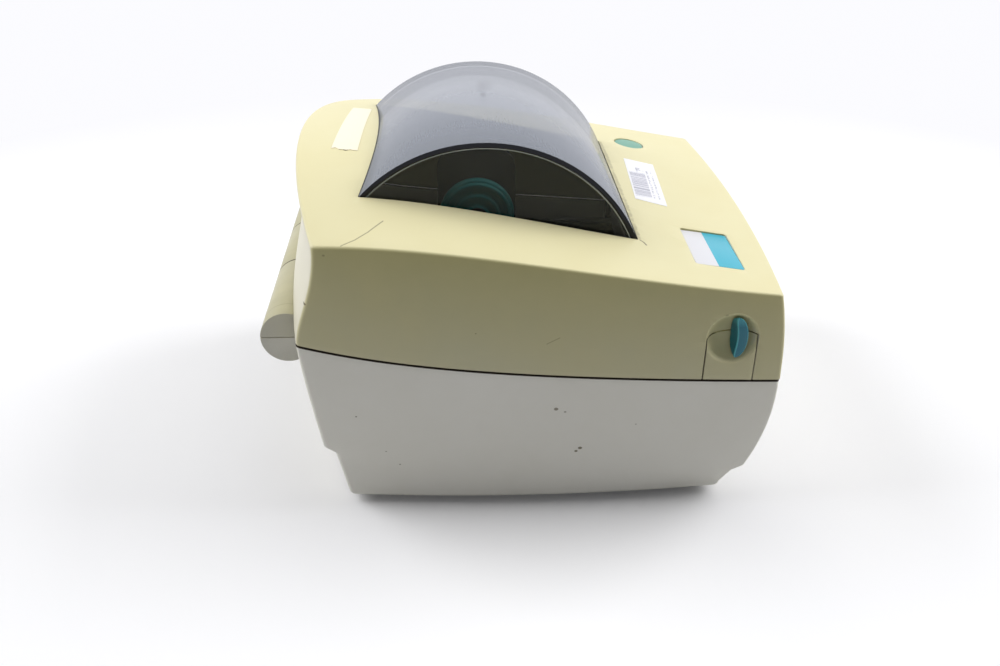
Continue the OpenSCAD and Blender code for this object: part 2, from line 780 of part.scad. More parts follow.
// Floor, trough under the roll, deck behind the platen and lip under the label exit
module base_chassis() {
  deck_z = nip_z - 2.2;
  deck_y = roll_y - sqrt(pow(well_r, 2) - pow(hub_z - deck_z, 2));
  foot = 43.4;
  front_foot = roll_y - foot;
  rear_foot = roll_y + foot;
  foot_top = hub_z - sqrt(pow(well_r, 2) - pow(foot, 2));
  rear_top = 50;
  color([0.16, 0.16, 0.17]) {
    block([-bay_half, front_foot - well_t, chassis_z],
      [bay_half, rear_foot + well_t, chassis_z + chassis_floor]);
    for (y = [front_foot - well_t, rear_foot]) block([-bay_half, y, chassis_z],
      [bay_half, y + well_t, foot_top]);
    intersection() {
      difference() {
        bar_x(-bay_half, bay_half, [roll_y, hub_z], well_r + well_t);
        bar_x(-far, far, [roll_y, hub_z], well_r);
      }
      union() {
        block([-far, -far, foot_top - 1], [far, front_foot, deck_z]);
        block([-far, rear_foot, foot_top - 1], [far, far, rear_top]);
      }
    }
    difference() {
      block([-bay_half, platen_y + 9, deck_z - 2], [bay_half, deck_y - 0.5, deck_z]);
      sensor_space(fit);
    }
  }
}

// Bar across the front under the label exit, which the tear bar lies on
module front_lip() {
  color([0.16, 0.16, 0.17])
    block([-bay_half, platen_y - 11.5, nip_z - 12], [bay_half, platen_y - 8.5, nip_z - 2]);
}

module sensor_space(grow) {
  block([-6 - grow, platen_y + 14 - grow, 0], [6 + grow, platen_y + 24 + grow, far]);
}

module gap_sensor() {
  color("darkslategray") intersection() {
    sensor_space(0);
    block([-far, -far, nip_z - 8], [far, far, nip_z - 2.4]);
  }
}

module chassis_screws() {
  top = chassis_z + chassis_floor;
  color("gray") for (x = [-1, 1]) for (y = [roll_y - 30, roll_y + 34]) translate([x * 58, y, 0]) {
    translate([0, 0, top]) cylinder(r = 3, h = 1.6);
  }
}

module tear_bar() {
  teeth = 28;
  pitch = 2 * head_half / teeth;
  color("silver") translate([0, 0, nip_z - 2]) linear_extrude(0.8) polygon(concat(
    [[head_half, platen_y - 8.5], [-head_half, platen_y - 8.5]],
    [for (i = [0:teeth - 1]) each [[-head_half + i * pitch, platen_y - 11.6],
      [-head_half + (i + 0.5) * pitch, platen_y - 12.8]]],
    [[head_half, platen_y - 11.6]]));
}

// ---------- hangers ----------
// Arm, hub pin, foot and rack of the left hanger
module hanger_half() {
  x0 = -hanger_x - arm_t;
  x1 = -hanger_x;
  pitch_y = roll_y - pinion_r;
  r = 12;
  half = arm_w / 2;
  step = PI * gear_m;
  rack_end = 3;
  along_x(x0, x1) {
    translate([roll_y - half, arm_z]) square([arm_w, arm_top_z - r - arm_z]);
    translate([roll_y - half + r, arm_z]) square([arm_w - 2 * r, arm_top_z - arm_z]);
    for (y = [-1, 1]) translate([roll_y + y * (half - r), arm_top_z - r]) circle(r = r);
  }
  translate([x1, roll_y, hub_z]) rotate([0, 90, 0]) {
    translate([0, 0, -eps]) cylinder(r = hub_pin_r, h = 9 + eps);
    translate([0, 0, 9]) cylinder(r = hub_pin_r + 2, h = 1.4);
  }
  block([x0, pitch_y - gear_dedendum - rack_back, rack_z], [x1, pitch_y - gear_dedendum, arm_z + eps]);
  translate([0, 0, rack_z]) linear_extrude(rack_h) {
    translate([x0, pitch_y - gear_dedendum - rack_back]) square([rack_end - x0, rack_back]);
    for (i = [-15:-1]) translate([(i + 0.5) * step, pitch_y]) rack_tooth();
    translate([0.5 * step, pitch_y]) rack_tooth();
  }
}

module rack_tooth() {
  q = PI * gear_m / 4 - backlash / 2;
  slope = tan(20);
  polygon([[-q - gear_dedendum * slope, -gear_dedendum - eps], [q + gear_dedendum * slope,
    -gear_dedendum - eps], [q - gear_addendum * slope, gear_addendum],
    [-q + gear_addendum * slope, gear_addendum]]);
}

module hanger_left() {
  color([0.1, 0.1, 0.11]) hanger_half();
}

module hanger_right() {
  color([0.1, 0.1, 0.11]) translate([0, roll_y, 0]) rotate([0, 0, 180]) translate([0, -roll_y, 0])
    hanger_half();
}

// Stepped roll hub, turning on the hanger's pin
module hub_half() {
  color("darkcyan") translate([-hanger_x + fit, roll_y, hub_z]) rotate([0, 90, 0])
    difference() {
      rotate_extrude() polygon([[hub_pin_r + run, 0], [hub_r, 0], [hub_r, 2], [hub_r - 2.4, 2],
        [hub_r - 2.6, 3.2], [core_r, 3.6], [core_r - 0.6, 8], [core_r - 2, 8.4],
        [hub_pin_r + 3.5, 8.4], [hub_pin_r + 3.5, 6.8], [hub_pin_r + run, 6.8]]);
      for (a = [0:60:300]) rotate(a) translate([hub_r + 1.6, 0, -1]) cylinder(r = 2.4, h = 4);
    }
}

module rack_pinion() {
  color("ivory") translate([0, roll_y, rack_z]) linear_extrude(rack_h) difference() {
    gear_shape(rack_teeth);
    circle(r = shaft_r);
  }
}

// ---------- drive ----------
module gear_plate() {
  color("silver") along_x(gear_plate_x, gear_plate_x + gear_plate_t) difference() {
    polygon([post_at[0] + [-10, -2], [platen_y - 10, platen_z - 6], [platen_y - 2, platen_z + 6],
      post_at[1] + [10, 6], post_at[2] + [6, 6], post_at[2] + [6, -6], post_at[3] + [10, -2],
      post_at[3] + [-8, -4], post_at[0] + [4, -8]]);
    translate(motor_at) circle(r = shaft_r + 1);
    translate(idler_at) circle(r = shaft_r + run);
    translate([platen_y, platen_z]) circle(r = shaft_r + 1);
  }
}

module stepper_motor() {
  x = gear_plate_x + gear_plate_t;
  color("dimgray") difference() {
    union() {
      bar_x(x, x + motor_l, motor_at, motor_r);
      along_x(x, x + 1.5) translate(motor_at) {
        square([2 * motor_r + 12, 8], center = true);
      }
    }
    bar_x(x - 1, x + motor_l - 3, motor_at, shaft_r + run);
  }
}

module motor_shaft() {
  color("silver") bar_x(gear_x - 1, gear_plate_x + gear_plate_t + motor_l - 4, motor_at, shaft_r);
}

module motor_gear() {
  color("goldenrod") gear(motor_teeth, motor_at, motor_turn, shaft_r + run / 2);
}

module idler_axle() {
  color("silver") {
    bar_x(bay_half + plate_t, gear_plate_x + gear_plate_t + 1, idler_at, shaft_r);
    bar_x(bay_half, bay_half + plate_t, idler_at, axle_end_r);
  }
}

module idler_gear() {
  color("ivory") gear(idler_teeth, idler_at, idler_turn, shaft_r + run);
}

module platen_gear() {
  color("ivory") gear(platen_teeth, [platen_y, platen_z], idler_dir, shaft_r + run / 2);
}

module platen_shaft() {
  color("silver") bar_x(-bay_half - plate_t - 1, gear_x + gear_t + 1, [platen_y, platen_z], shaft_r);
}

module platen_rubber() {
  color([0.12, 0.12, 0.12]) difference() {
    bar_x(-platen_w / 2, platen_w / 2, [platen_y, platen_z], platen_d / 2);
    bar_x(-far, far, [platen_y, platen_z], shaft_r);
  }
}

module platen_bush(side) {
  color("goldenrod") on_side(side) difference() {
    union() {
      bar_x(-bay_half - plate_t, -bay_half + 1, [platen_y, platen_z], bush_r);
      bar_x(-bay_half + 0.1, -bay_half + 1.2, [platen_y, platen_z], bush_r + 1.2);
    }
    bar_x(-far, 0, [platen_y, platen_z], shaft_r + run);
  }
}

// ---------- electronics ----------
function board_posts() = [for (y = [board_y[0] + board_in, board_y[1] - board_in])
  for (z = [board_z[0] + board_in, board_z[1] - board_in]) [y, z]];

module main_board() {
  color("darkgreen")
    block([-board_x - board_t, board_y[0], board_z[0]], [-board_x, board_y[1], board_z[1]]);
}

// Part on the main board, standing off it by a share of the room there
module board_part(y, z, wide, high, share) {
  block([-board_x, y, z], [-board_x + share * board_room, y + wide, z + high]);
}

// Parts soldered to the main board: chips, capacitors, a coil and a heat spreader
module board_components() {
  color("dimgray") {
    board_part(-20, 24, 20, 20, 0.22);
    board_part(10, 30, 14, 10, 0.18);
    board_part(10, 16, 14, 8, 0.18);
    board_part(-44, 22, 14, 24, 0.5);
    for (z = [20, 32, 44]) bar_x(-board_x, -board_x + board_room, [40, z], 4.5);
    bar_x(-board_x, -board_x + 0.7 * board_room, [52, 34], 6);
  }
}

module port_board() {
  color("darkgreen") block([-66, panel_y - 9.4, panel_low + 1], [66, panel_y - 8, panel_high + 1]);
}

module rear_panel() {
  color("gray") intersection() {
    difference() {
      block([-panel_half + fit, panel_y, panel_low + fit], [panel_half - fit, far, panel_high - fit]);
      block([-panel_half + 2, panel_y + panel_t, panel_low + 2], [panel_half - 2, far, panel_high - 2]);
      block([switch_x - 10 - fit, 0, panel_mid - 6.5 - fit], [switch_x + 10 + fit, far,
        panel_mid + 6.5 + fit]);
      translate([inlet_x, 0, panel_mid]) rotate([-90, 0, 0]) cylinder(r = 5.5 + fit, h = far);
      for (p = [[serial_x, 19], [parallel_x, 41]])
        block([p[0] - p[1] / 2 - fit, 0, panel_mid - 5 - fit], [p[0] + p[1] / 2 + fit, far,
          panel_mid + 5 + fit]);
    }
    base_block(wall / 3, 0, true);
  }
}

// D-shaped port through the rear panel; w is the width of its shell
module d_port(x, w, pins) {
  y = panel_y - 8;
  translate([x, 0, panel_mid]) {
    difference() {
      translate([0, panel_y + 7, 0]) rotate([90, 0, 0]) linear_extrude(15) d_shape(w, 8.6);
      translate([0, panel_y + 8, 0]) rotate([90, 0, 0]) linear_extrude(7) d_shape(w - 1.4, 7.2);
    }
    translate([0, panel_y + 6, 0]) rotate([90, 0, 0]) linear_extrude(6) difference() {
      d_shape(w - 3, 5.4);
      for (i = [0:pins - 1]) translate([(i - (pins - 1) / 2) * 2.76, 1.3]) circle(r = 0.5, $fn = 13);
    }
    block([-w / 2 - 6, y, -6], [w / 2 + 6, panel_y - 0.3, 6]);
  }
}

module d_shape(w, h) {
  polygon([[-w / 2, h / 2], [w / 2, h / 2], [w / 2 - 1.6, -h / 2], [-w / 2 + 1.6, -h / 2]]);
}

module serial_port() {
  color("silver") d_port(serial_x, 17.5, 5);
}

module parallel_port() {
  color("silver") d_port(parallel_x, 39, 13);
}

module power_inlet() {
  color([0.1, 0.1, 0.1]) translate([inlet_x, panel_y - 8, panel_mid]) rotate([-90, 0, 0])
    difference() {
      union() {
        cylinder(r = 5.5, h = 8 + panel_t + 2);
        translate([-6, -6, 0]) cube([12, 12, 7.7]);
      }
      translate([0, 0, 3]) cylinder(r = 2.9, h = 20);
    }
}

module switch_housing() {
  color([0.1, 0.1, 0.1]) translate([switch_x, 0, panel_mid]) difference() {
    union() {
      block([-10, panel_y - 8, -6.5], [10, panel_y + panel_t + fit, 6.5]);
      block([-11.5, panel_y + panel_t + fit - eps, -8], [11.5, panel_y + panel_t + 1.5, 8]);
    }
    block([-7.5, panel_y - 6, -5], [7.5, far, 5]);
  }
}

module power_rocker() {
  tilt = 8;
  color([0.14, 0.14, 0.14]) translate([switch_x, panel_y, panel_mid]) rotate([0, 0, tilt])
    difference() {
      translate([0, 0, -4.7]) linear_extrude(9.4) polygon([[-6, -2], [6, -2], [7, 3.6], [0, 2.6],
        [-7, 3.6]]);
      translate([0, 0, -10]) cylinder(r = 1, h = 20);
    }
}

base_case();
base_chassis();
side_frame(-1);  // side_frame_left
side_frame(1);  // side_frame_right
front_lip();
rear_panel();
rubber_feet();
chassis_screws();
hinge_pin();
hinge_cap(-1);  // hinge_cap_left
hinge_cap(1);  // hinge_cap_right
main_board();
board_components();
port_board();
power_inlet();
serial_port();
parallel_port();
switch_housing();
power_rocker();
gear_plate();
stepper_motor();
motor_shaft();
motor_gear();
idler_axle();
idler_gear();
platen_rubber();
platen_shaft();
platen_gear();
platen_bush(-1);  // platen_bush_left
platen_bush(1);  // platen_bush_right
tear_bar();
gap_sensor();
hanger_left();
hanger_right();
hub_half();  // hub_left
mirror([1, 0, 0]) hub_half();  // hub_right
rack_pinion();
lid_cover();
window();
lid_frame();
head_carrier();
head_sink();
thermal_element();
head_axle();
head_springs();
badge_plate();
latch_panel(-1);  // latch_panel_left
latch_panel(1);  // latch_panel_right
latch_slide(-1);  // latch_slide_left
latch_slide(1);  // latch_slide_right
latch_spring(-1);  // latch_spring_left
latch_spring(1);  // latch_spring_right
feed_button();
button_board();
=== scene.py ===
"""Looks of a desktop thermal label printer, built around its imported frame.

Front is -Y, up is +Z, the feet stand on Z = 0, and all lengths are metres.
"""
import json
import math

import bmesh
import bpy
from mathutils import Matrix, Vector


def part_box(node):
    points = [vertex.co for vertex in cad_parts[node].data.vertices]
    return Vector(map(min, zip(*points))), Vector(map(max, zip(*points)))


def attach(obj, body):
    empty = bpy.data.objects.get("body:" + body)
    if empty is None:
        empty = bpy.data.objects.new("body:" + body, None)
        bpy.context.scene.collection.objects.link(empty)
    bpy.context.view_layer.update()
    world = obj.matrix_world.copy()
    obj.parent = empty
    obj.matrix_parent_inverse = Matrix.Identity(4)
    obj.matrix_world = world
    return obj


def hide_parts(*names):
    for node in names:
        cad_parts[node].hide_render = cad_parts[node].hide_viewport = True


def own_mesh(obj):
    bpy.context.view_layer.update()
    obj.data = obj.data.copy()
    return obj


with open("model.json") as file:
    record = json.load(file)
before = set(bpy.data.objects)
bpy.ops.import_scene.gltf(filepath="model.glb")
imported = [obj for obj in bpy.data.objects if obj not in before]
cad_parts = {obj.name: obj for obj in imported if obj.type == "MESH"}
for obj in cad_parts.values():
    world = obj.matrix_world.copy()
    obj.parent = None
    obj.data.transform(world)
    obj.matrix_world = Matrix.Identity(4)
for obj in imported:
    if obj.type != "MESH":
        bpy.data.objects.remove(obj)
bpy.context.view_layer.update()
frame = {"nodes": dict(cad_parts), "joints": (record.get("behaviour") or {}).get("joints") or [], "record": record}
nodes = frame["nodes"]
joints = {joint["name"]: joint for joint in frame["joints"]}

# ---------- sizes ----------
MM = 0.001
FAR = 0.4

# Housing outline
HALF_W = 98.8 * MM
DEPTH = 192.5 * MM
SHIFT = -6.4 * MM
FRONT_Y = SHIFT - DEPTH / 2
REAR_Y = SHIFT + DEPTH / 2
SIDE_BOW = 4 * MM
FRONT_BOW = 4.38 * MM
REAR_BOW, REAR_BOW_LOW = 13.6 * MM, 8.6 * MM
CORNER_R = 1.6 * MM
WALL = 2.6 * MM
FOOT_H = 3 * MM
FIT = 0.3 * MM

# Parting line, then the lid's upper edge
PART_FRONT, PART_RISE, PART_KICK = 61.8 * MM, 13.4 * MM, 6.8 * MM
SEAM = 0.6 * MM
EDGE_FRONT, EDGE_RISE, EDGE_SWELL, EDGE_FALL = 99.9 * MM, 28.5 * MM, 13 * MM, 18.5 * MM
CROWN_FRONT, CROWN_REAR = 1.2 * MM, 15 * MM
FRONT_TUCK = 3 * MM
REAR_OGEE = 8.8 * MM
EDGE_R = 1.1 * MM

# Base below the parting line
STEP_FRONT, STEP_RISE, STEP_DROP, STEP_IN = 16.8 * MM, 15.3 * MM, 3.2 * MM, 4.6 * MM
FRONT_RAKE, REAR_RAKE, SIDE_RAKE, SKIRT_RAKE = 8.7 * MM, 7.2 * MM, 4.7 * MM, 4 * MM
LEDGE_IN = 0.8 * MM
FOOT_R = 3 * MM

# Window, hinge, latch, button and badge
WINDOW_LOW, WINDOW_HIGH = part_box("window")
WINDOW_HALF = WINDOW_HIGH.x
WINDOW_R = 68 * MM
WINDOW_T = 2 * MM
WINDOW_Y = SHIFT + 21.8 * MM
WINDOW_Z = WINDOW_HIGH.z - WINDOW_R
WINDOW_SKIRT = 6 * MM
HINGE = Vector(joints["lid_hinge"]["pos_m"])
BARREL_R = 11 * MM
BARREL_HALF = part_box("hinge_cap_right")[1].x
KNUCKLE_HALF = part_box("hinge_cap_right")[0].x - 0.4 * MM
PIN_R = 3 * MM
BARREL_GAP = 0.4 * MM
DISH_Y = FRONT_Y + 21.4 * MM
DISH_Z = PART_FRONT + 20.6 * MM
DISH_R = 10.25 * MM
DISH_DEPTH = 6.5 * MM
TAB_Y = DISH_Y - 1.8 * MM
TAB_HALF, TAB_BELLY = 8.7 * MM, 4.5 * MM
PANEL_FRONT, PANEL_REAR = DISH_Y - 10.2 * MM, DISH_Y + 10.2 * MM
PANEL_SEAM, PANEL_LEAN = 0.35 * MM, 0.03
POST_X = 55 * MM
BUTTON_X, BUTTON_Y = 71 * MM, FRONT_Y + 38.4 * MM
BUTTON_R = 7.5 * MM
BADGE_X, BADGE_Y = -61.6 * MM, FRONT_Y + 23.6 * MM
BADGE_W, BADGE_D = 35.3 * MM, 20.2 * MM
BADGE_DEPTH = 1 * MM
PLATEN = Vector(joints["platen_spin"]["pos_m"])
NIP_Z = PLATEN.z + 7 * MM
SLOT_HALF = 56 * MM
SLOT_UP = 6 * MM
PORTS_HALF, PORTS_LOW, PORTS_HIGH = 68 * MM, 37 * MM, 60 * MM

# Light from all round, and what the floor gives back
ROOM_LIGHT = 0.14
ROOM_TINT, BACKGROUND = (0.94, 0.95, 1, 1), (0.97, 0.97, 1, 1)
FLOOR_TINT = (0.6, 0.6, 0.6)

# Mesh density of the housing outline
END_N, SIDE_N, CORNER_N = 36, 30, 6


# ---------- outline of the housing ----------
def along(y):
    return (y - FRONT_Y) / DEPTH


def late(y):
    return max(along(y), 0)


def mix(a, b, t):
    return a + (b - a) * t


def part_z(y):
    return PART_FRONT + PART_RISE * along(y) + PART_KICK * late(y) ** 5


def edge_z(y):
    return EDGE_FRONT + EDGE_RISE * along(y) + EDGE_SWELL * along(y) ** 2 - EDGE_FALL * late(y) ** 4


def crown(y):
    return CROWN_FRONT + (CROWN_REAR - CROWN_FRONT) * late(y) ** 2


def top_z(x, y):
    return edge_z(y) + crown(y) * (1 - (x / HALF_W) ** 2)


def top_slope(y):
    return math.atan((edge_z(y + MM) - edge_z(y - MM)) / (2 * MM))


def step_z(y):
    return STEP_FRONT + STEP_RISE * along(y)


def lid_front(w):
    return FRONT_Y - 0.4 * MM + FRONT_TUCK * (max(w - 0.2, 0) / 0.8) ** 2


def lid_rear(w):
    return REAR_Y - REAR_OGEE * (1 - math.cos(math.pi * w ** 0.85)) / 2


def bowed(y, half, front, rear):
    return half + SIDE_BOW * (1 - ((2 * y - front - rear) / (rear - front)) ** 2)


def side_x(y):
    return bowed(y, HALF_W, FRONT_Y, REAR_Y)


def corner(a, b, c):
    """Points of a quadratic curve from a to c, drawn towards b, without its ends."""
    points = []
    for i in range(1, CORNER_N):
        t = i / CORNER_N
        points.append(tuple(p * (1 - t) ** 2 + q * 2 * t * (1 - t) + r * t * t
                            for p, q, r in zip(a, b, c)))
    return points


def outline(half, front, rear, rear_bow=REAR_BOW):
    """Plan outline with bowed sides: half width, front corners and rear corners."""
    r = CORNER_R
    ends = [2 * i / END_N - 1 for i in range(END_N + 1)]
    sides = [i / SIDE_N for i in range(SIDE_N + 1)]
    fore = [((half - r) * u, front - FRONT_BOW * (1 - ((half - r) * u / half) ** 2)) for u in ends]
    right = [(bowed(y, half, front, rear), y)
             for y in (mix(front + r, rear - r, t) for t in sides)]
    aft = [(-(half - r) * u, rear + rear_bow * (1 - ((half - r) * u / half) ** 2)) for u in ends]
    left = [(-bowed(y, half, front, rear), y)
            for y in (mix(rear - r, front + r, t) for t in sides)]
    return (fore + corner(fore[-1], (half, front), right[0])
            + right + corner(right[-1], (half, rear), aft[0])
            + aft + corner(aft[-1], (-half, rear), left[0])
            + left + corner(left[-1], (-half, front), fore[0]))


def shrink(ring, s):
    return [(x * s, mix(SHIFT, y, s)) for x, y in ring]


# ---------- modelling helpers ----------
def deselect():
    bpy.ops.object.select_all(action="DESELECT")


def only(piece):
    """Makes a piece the one selected and active object."""
    deselect()
    piece.select_set(True)
    bpy.context.view_layer.objects.active = piece
    return piece


def added(name):
    """Names the primitive that was just added and puts its place in its mesh."""
    piece = bpy.context.active_object
    piece.name = name
    piece.data.name = name
    only(piece)
    bpy.ops.object.transform_apply(location=True, rotation=True, scale=True)
    return piece


def edit(piece, mode="VERT"):
    only(piece)
    bpy.ops.object.mode_set(mode="EDIT")
    bpy.ops.mesh.select_mode(type=mode)
    bpy.ops.mesh.select_all(action="DESELECT")
    return bmesh.from_edit_mesh(piece.data)


def leave(piece):
    bmesh.update_edit_mesh(piece.data)
    bpy.ops.object.mode_set(mode="OBJECT")
    return piece


def block(name, low, high):
    middle = [(a + b) / 2 for a, b in zip(low, high)]
    bpy.ops.mesh.primitive_cube_add(size=1, location=middle, scale=[b - a for a, b in zip(low, high)])
    return added(name)


def bar_x(name, x0, x1, at, r, sides=96):
    """Round bar along X at a point [y, z]."""
    bpy.ops.mesh.primitive_cylinder_add(vertices=sides, radius=r, depth=x1 - x0,
                                        location=((x0 + x1) / 2, at[0], at[1]),
                                        rotation=(0, math.pi / 2, 0))
    return added(name)


def use(piece, kind, **settings):
    """Adds a modifier, sets it and applies it."""
    only(piece)
    modifier = piece.modifiers.new(kind.lower(), kind)
    for key, value in settings.items():
        setattr(modifier, key, value)
    bpy.ops.object.modifier_apply(modifier=modifier.name)
    return piece


def carve(piece, *cutters, how="DIFFERENCE"):
    """Cuts, joins or keeps what is shared with each cutter, which is then deleted."""
    for cutter in cutters:
        use(piece, "BOOLEAN", operation=how, solver="EXACT", object=cutter)
        bpy.data.objects.remove(cutter)
    return piece


def join(piece, *others):
    only(piece)
    for other in others:
        other.select_set(True)
    bpy.ops.object.join()
    return piece


def copy(piece, name):
    twin = piece.copy()
    twin.data = piece.data.copy()
    twin.name = name
    twin.data.name = name
    bpy.context.scene.collection.objects.link(twin)
    return twin


def mirrored(piece, name):
    """Copy on the other side of the middle plane."""
    twin = copy(piece, name)
    twin.data.transform(Matrix.Scale(-1, 4, (1, 0, 0)))
    edit(twin)
    bpy.ops.mesh.select_all(action="SELECT")
    bpy.ops.mesh.flip_normals()
    return leave(twin)


def extrude_yz(name, points, x0, x1):
    """Slab along X of an outline of [y, z] points."""
    bpy.ops.mesh.primitive_circle_add(vertices=len(points), radius=MM, fill_type="NGON")
    slab = added(name)
    mesh = edit(slab)
    for vertex, (y, z) in zip(mesh.verts, points):
        vertex.co = (x0, y, z)
        vertex.select = True
    for face in mesh.faces:
        face.select = True
    bpy.ops.mesh.extrude_region_move(TRANSFORM_OT_translate={"value": (x1 - x0, 0, 0)})
    bpy.ops.mesh.select_all(action="SELECT")
    bpy.ops.mesh.normals_make_consistent(inside=False)
    return leave(slab)


def rings_up(name, rings):
    """Closed block through a stack of rings with equal numbers of points."""
    bpy.ops.mesh.primitive_circle_add(vertices=len(rings[0]), radius=MM)
    piece = added(name)
    mesh = edit(piece)
    mesh.verts.ensure_lookup_table()
    for vertex, point in zip(mesh.verts, rings[0]):
        vertex.co = point
    bpy.ops.mesh.select_all(action="SELECT")
    for ring in rings[1:]:
        bpy.ops.mesh.extrude_region_move()
        mesh = bmesh.from_edit_mesh(piece.data)
        for vertex, point in zip([v for v in mesh.verts if v.select], ring):
            vertex.co = point
    bpy.ops.mesh.edge_face_add()
    mesh = bmesh.from_edit_mesh(piece.data)
    bpy.ops.mesh.select_all(action="DESELECT")
    mesh.verts.ensure_lookup_table()
    for vertex in list(mesh.verts)[:len(rings[0])]:
        vertex.select = True
    mesh.select_flush(True)
    bpy.ops.mesh.edge_face_add()
    bpy.ops.mesh.select_all(action="SELECT")
    bpy.ops.mesh.normals_make_consistent(inside=False)
    return leave(piece)


def finish_edges(piece, width=0.25 * MM, segments=2, angle=38):
    """Rounds the sharp edges and shades the rest smooth."""
    edit(piece)
    bpy.ops.mesh.select_all(action="SELECT")
    bpy.ops.mesh.remove_doubles(threshold=0.05 * MM)
    bpy.ops.object.mode_set(mode="OBJECT")
    use(piece, "BEVEL", width=width, segments=segments, limit_method="ANGLE",
        angle_limit=math.radians(angle), use_clamp_overlap=False)
    return smooth(piece)


def smooth(piece, angle=32):
    only(piece)
    bpy.ops.object.shade_smooth_by_angle(angle=math.radians(angle))
    return piece


def place(piece, body, slot, finish, *replaced):
    piece.data.materials.clear()
    piece.data.materials.append(finish)
    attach(piece, body)
    if replaced:
        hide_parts(*replaced)
    return piece


# ---------- finishes ----------
class Number:
    """A number socket; expressions on it add Math nodes."""

    def __init__(self, finish, socket):
        self.finish = finish
        self.socket = socket

    def _math(self, operation, first, second):
        node = self.finish.node("ShaderNodeMath", {"operation": operation}, {0: first, 1: second})
        return Number(self.finish, node.outputs[0])

    def __add__(self, other):
        return self._math("ADD", self, other)

    def __radd__(self, other):
        return self._math("ADD", other, self)

    def __sub__(self, other):
        return self._math("SUBTRACT", self, other)

    def __rsub__(self, other):
        return self._math("SUBTRACT", other, self)

    def __mul__(self, other):
        return self._math("MULTIPLY", self, other)

    def __rmul__(self, other):
        return self._math("MULTIPLY", other, self)

    def __truediv__(self, other):
        return self._math("DIVIDE", self, other)

    def __pow__(self, other):
        return self._math("POWER", self, other)

    def most(self, other):
        return self._math("MAXIMUM", self, other)

    def least(self, other):
        return self._math("MINIMUM", self, other)

    def __gt__(self, other):
        return self._math("GREATER_THAN", self, other)

    def __lt__(self, other):
        return self._math("LESS_THAN", self, other)


class Finish:
    """A node-based surface finish around one Principled shader."""

    def __init__(self, name, colour, roughness, **constants):
        self.material = bpy.data.materials.new(name)
        self.material.use_nodes = True
        self.tree = self.material.node_tree
        self.shader = self.tree.nodes["Principled BSDF"]
        self.colour = (*colour, 1)
        self.set("Base Color", self.colour)
        self.set("Roughness", roughness)
        for key, value in constants.items():
            self.set(key.replace("_", " "), value)
        self.coordinates = self.node("ShaderNodeTexCoord").outputs["Object"]

    def node(self, kind, settings=None, inputs=None):
        node = self.tree.nodes.new(kind)
        for key, value in (settings or {}).items():
            if key == "stops":
                ramp = node.color_ramp.elements
                for i, (position, shade) in enumerate(value):
                    stop = ramp[i] if i < 2 else ramp.new(position)
                    stop.position = position
                    stop.color = (shade, shade, shade, 1)
            else:
                setattr(node, key, value)
        for key, value in (inputs or {}).items():
            self._feed(node.inputs[key], value)
        return node

    def _feed(self, socket, value):
        if isinstance(value, Number):
            value = value.socket
        if isinstance(value, bpy.types.NodeSocket):
            self.tree.links.new(value, socket)
        else:
            socket.default_value = value

    def set(self, name, value):
        self._feed(self.shader.inputs[name], value)

    def noise(self, scale, detail=3.0, roughness=0.55, stretch=None):
        where = self.coordinates
        if stretch:
            where = self.node("ShaderNodeMapping", {}, {"Vector": where, "Scale": stretch}).outputs[0]
        node = self.node("ShaderNodeTexNoise", {}, {"Vector": where, "Scale": scale, "Detail": detail,
                                                     "Roughness": roughness})
        return Number(self, node.outputs["Fac"])

    def ramp(self, value, *stops):
        node = self.node("ShaderNodeValToRGB", {"stops": stops}, {"Fac": value})
        return Number(self, node.outputs["Color"])

    def place(self):
        """Object coordinates as three numbers."""
        return self.split(self.coordinates)

    def split(self, vector):
        parts = self.node("ShaderNodeSeparateXYZ", {}, {0: vector}).outputs
        return [Number(self, part) for part in parts]

    def blend(self, mask, under, over):
        """One colour laid over another by a mask."""
        node = self.node("ShaderNodeMix", {"data_type": "RGBA"})
        self._feed(node.inputs[0], mask)
        for index, value in ((6, under), (7, over)):
            self._feed(node.inputs[index], (*value, 1) if isinstance(value, tuple) and len(value) == 3
                       else value)
        return node.outputs[2]

    def seen(self):
        """1 for rays from the camera, a gloss or a clear skin, 0 for the light that falls on things."""
        rays = self.node("ShaderNodeLightPath").outputs
        eye, gloss, clear = (Number(self, rays[kind])
                             for kind in ("Is Camera Ray", "Is Glossy Ray", "Is Transmission Ray"))
        return eye.most(gloss).most(clear)

    def bump(self, height, strength, distance):
        node = self.node("ShaderNodeBump", {}, {"Height": height, "Strength": strength,
                                                 "Distance": distance})
        self.set("Normal", node.outputs[0])


def colour(red, green, blue):
    """Linear colour of an sRGB one given from 0 to 255."""
    def linear(c):
        c /= 255
        return c / 12.92 if c <= 0.04045 else ((c + 0.055) / 1.055) ** 2.4
    return linear(red), linear(green), linear(blue)


def moulded(name, tint, stain, roughness=0.42, grain=0.5, wear=0.12):
    """Injection-moulded plastic: spark grain, slow stains and handled, shinier patches."""
    finish = Finish(name, tint, roughness, Specular_IOR_Level=0.4)
    broad = finish.noise(14, 4)
    fine = finish.noise(1600, 2)
    patches = finish.ramp(broad, (0.35, 0), (0.72, 1))
    finish.set("Base Color", finish.blend(patches * wear * 3, tint, stain))
    finish.set("Roughness", roughness + (broad - 0.5) * wear + (fine - 0.5) * grain * 0.15)
    finish.bump(fine, grain * 0.3, 0.05 * MM)
    return finish


def metal(name, tint, roughness, stretch=(1, 1, 1), scale=300):
    finish = Finish(name, tint, roughness, Metallic=1.0)
    lines = finish.noise(scale, 4, 0.6, stretch)
    finish.set("Base Color", finish.blend(lines * 0.35, tint, tuple(c * 0.72 for c in tint)))
    finish.set("Roughness", roughness + (lines - 0.5) * 0.18)
    finish.bump(lines, 0.12, 0.05 * MM)
    return finish


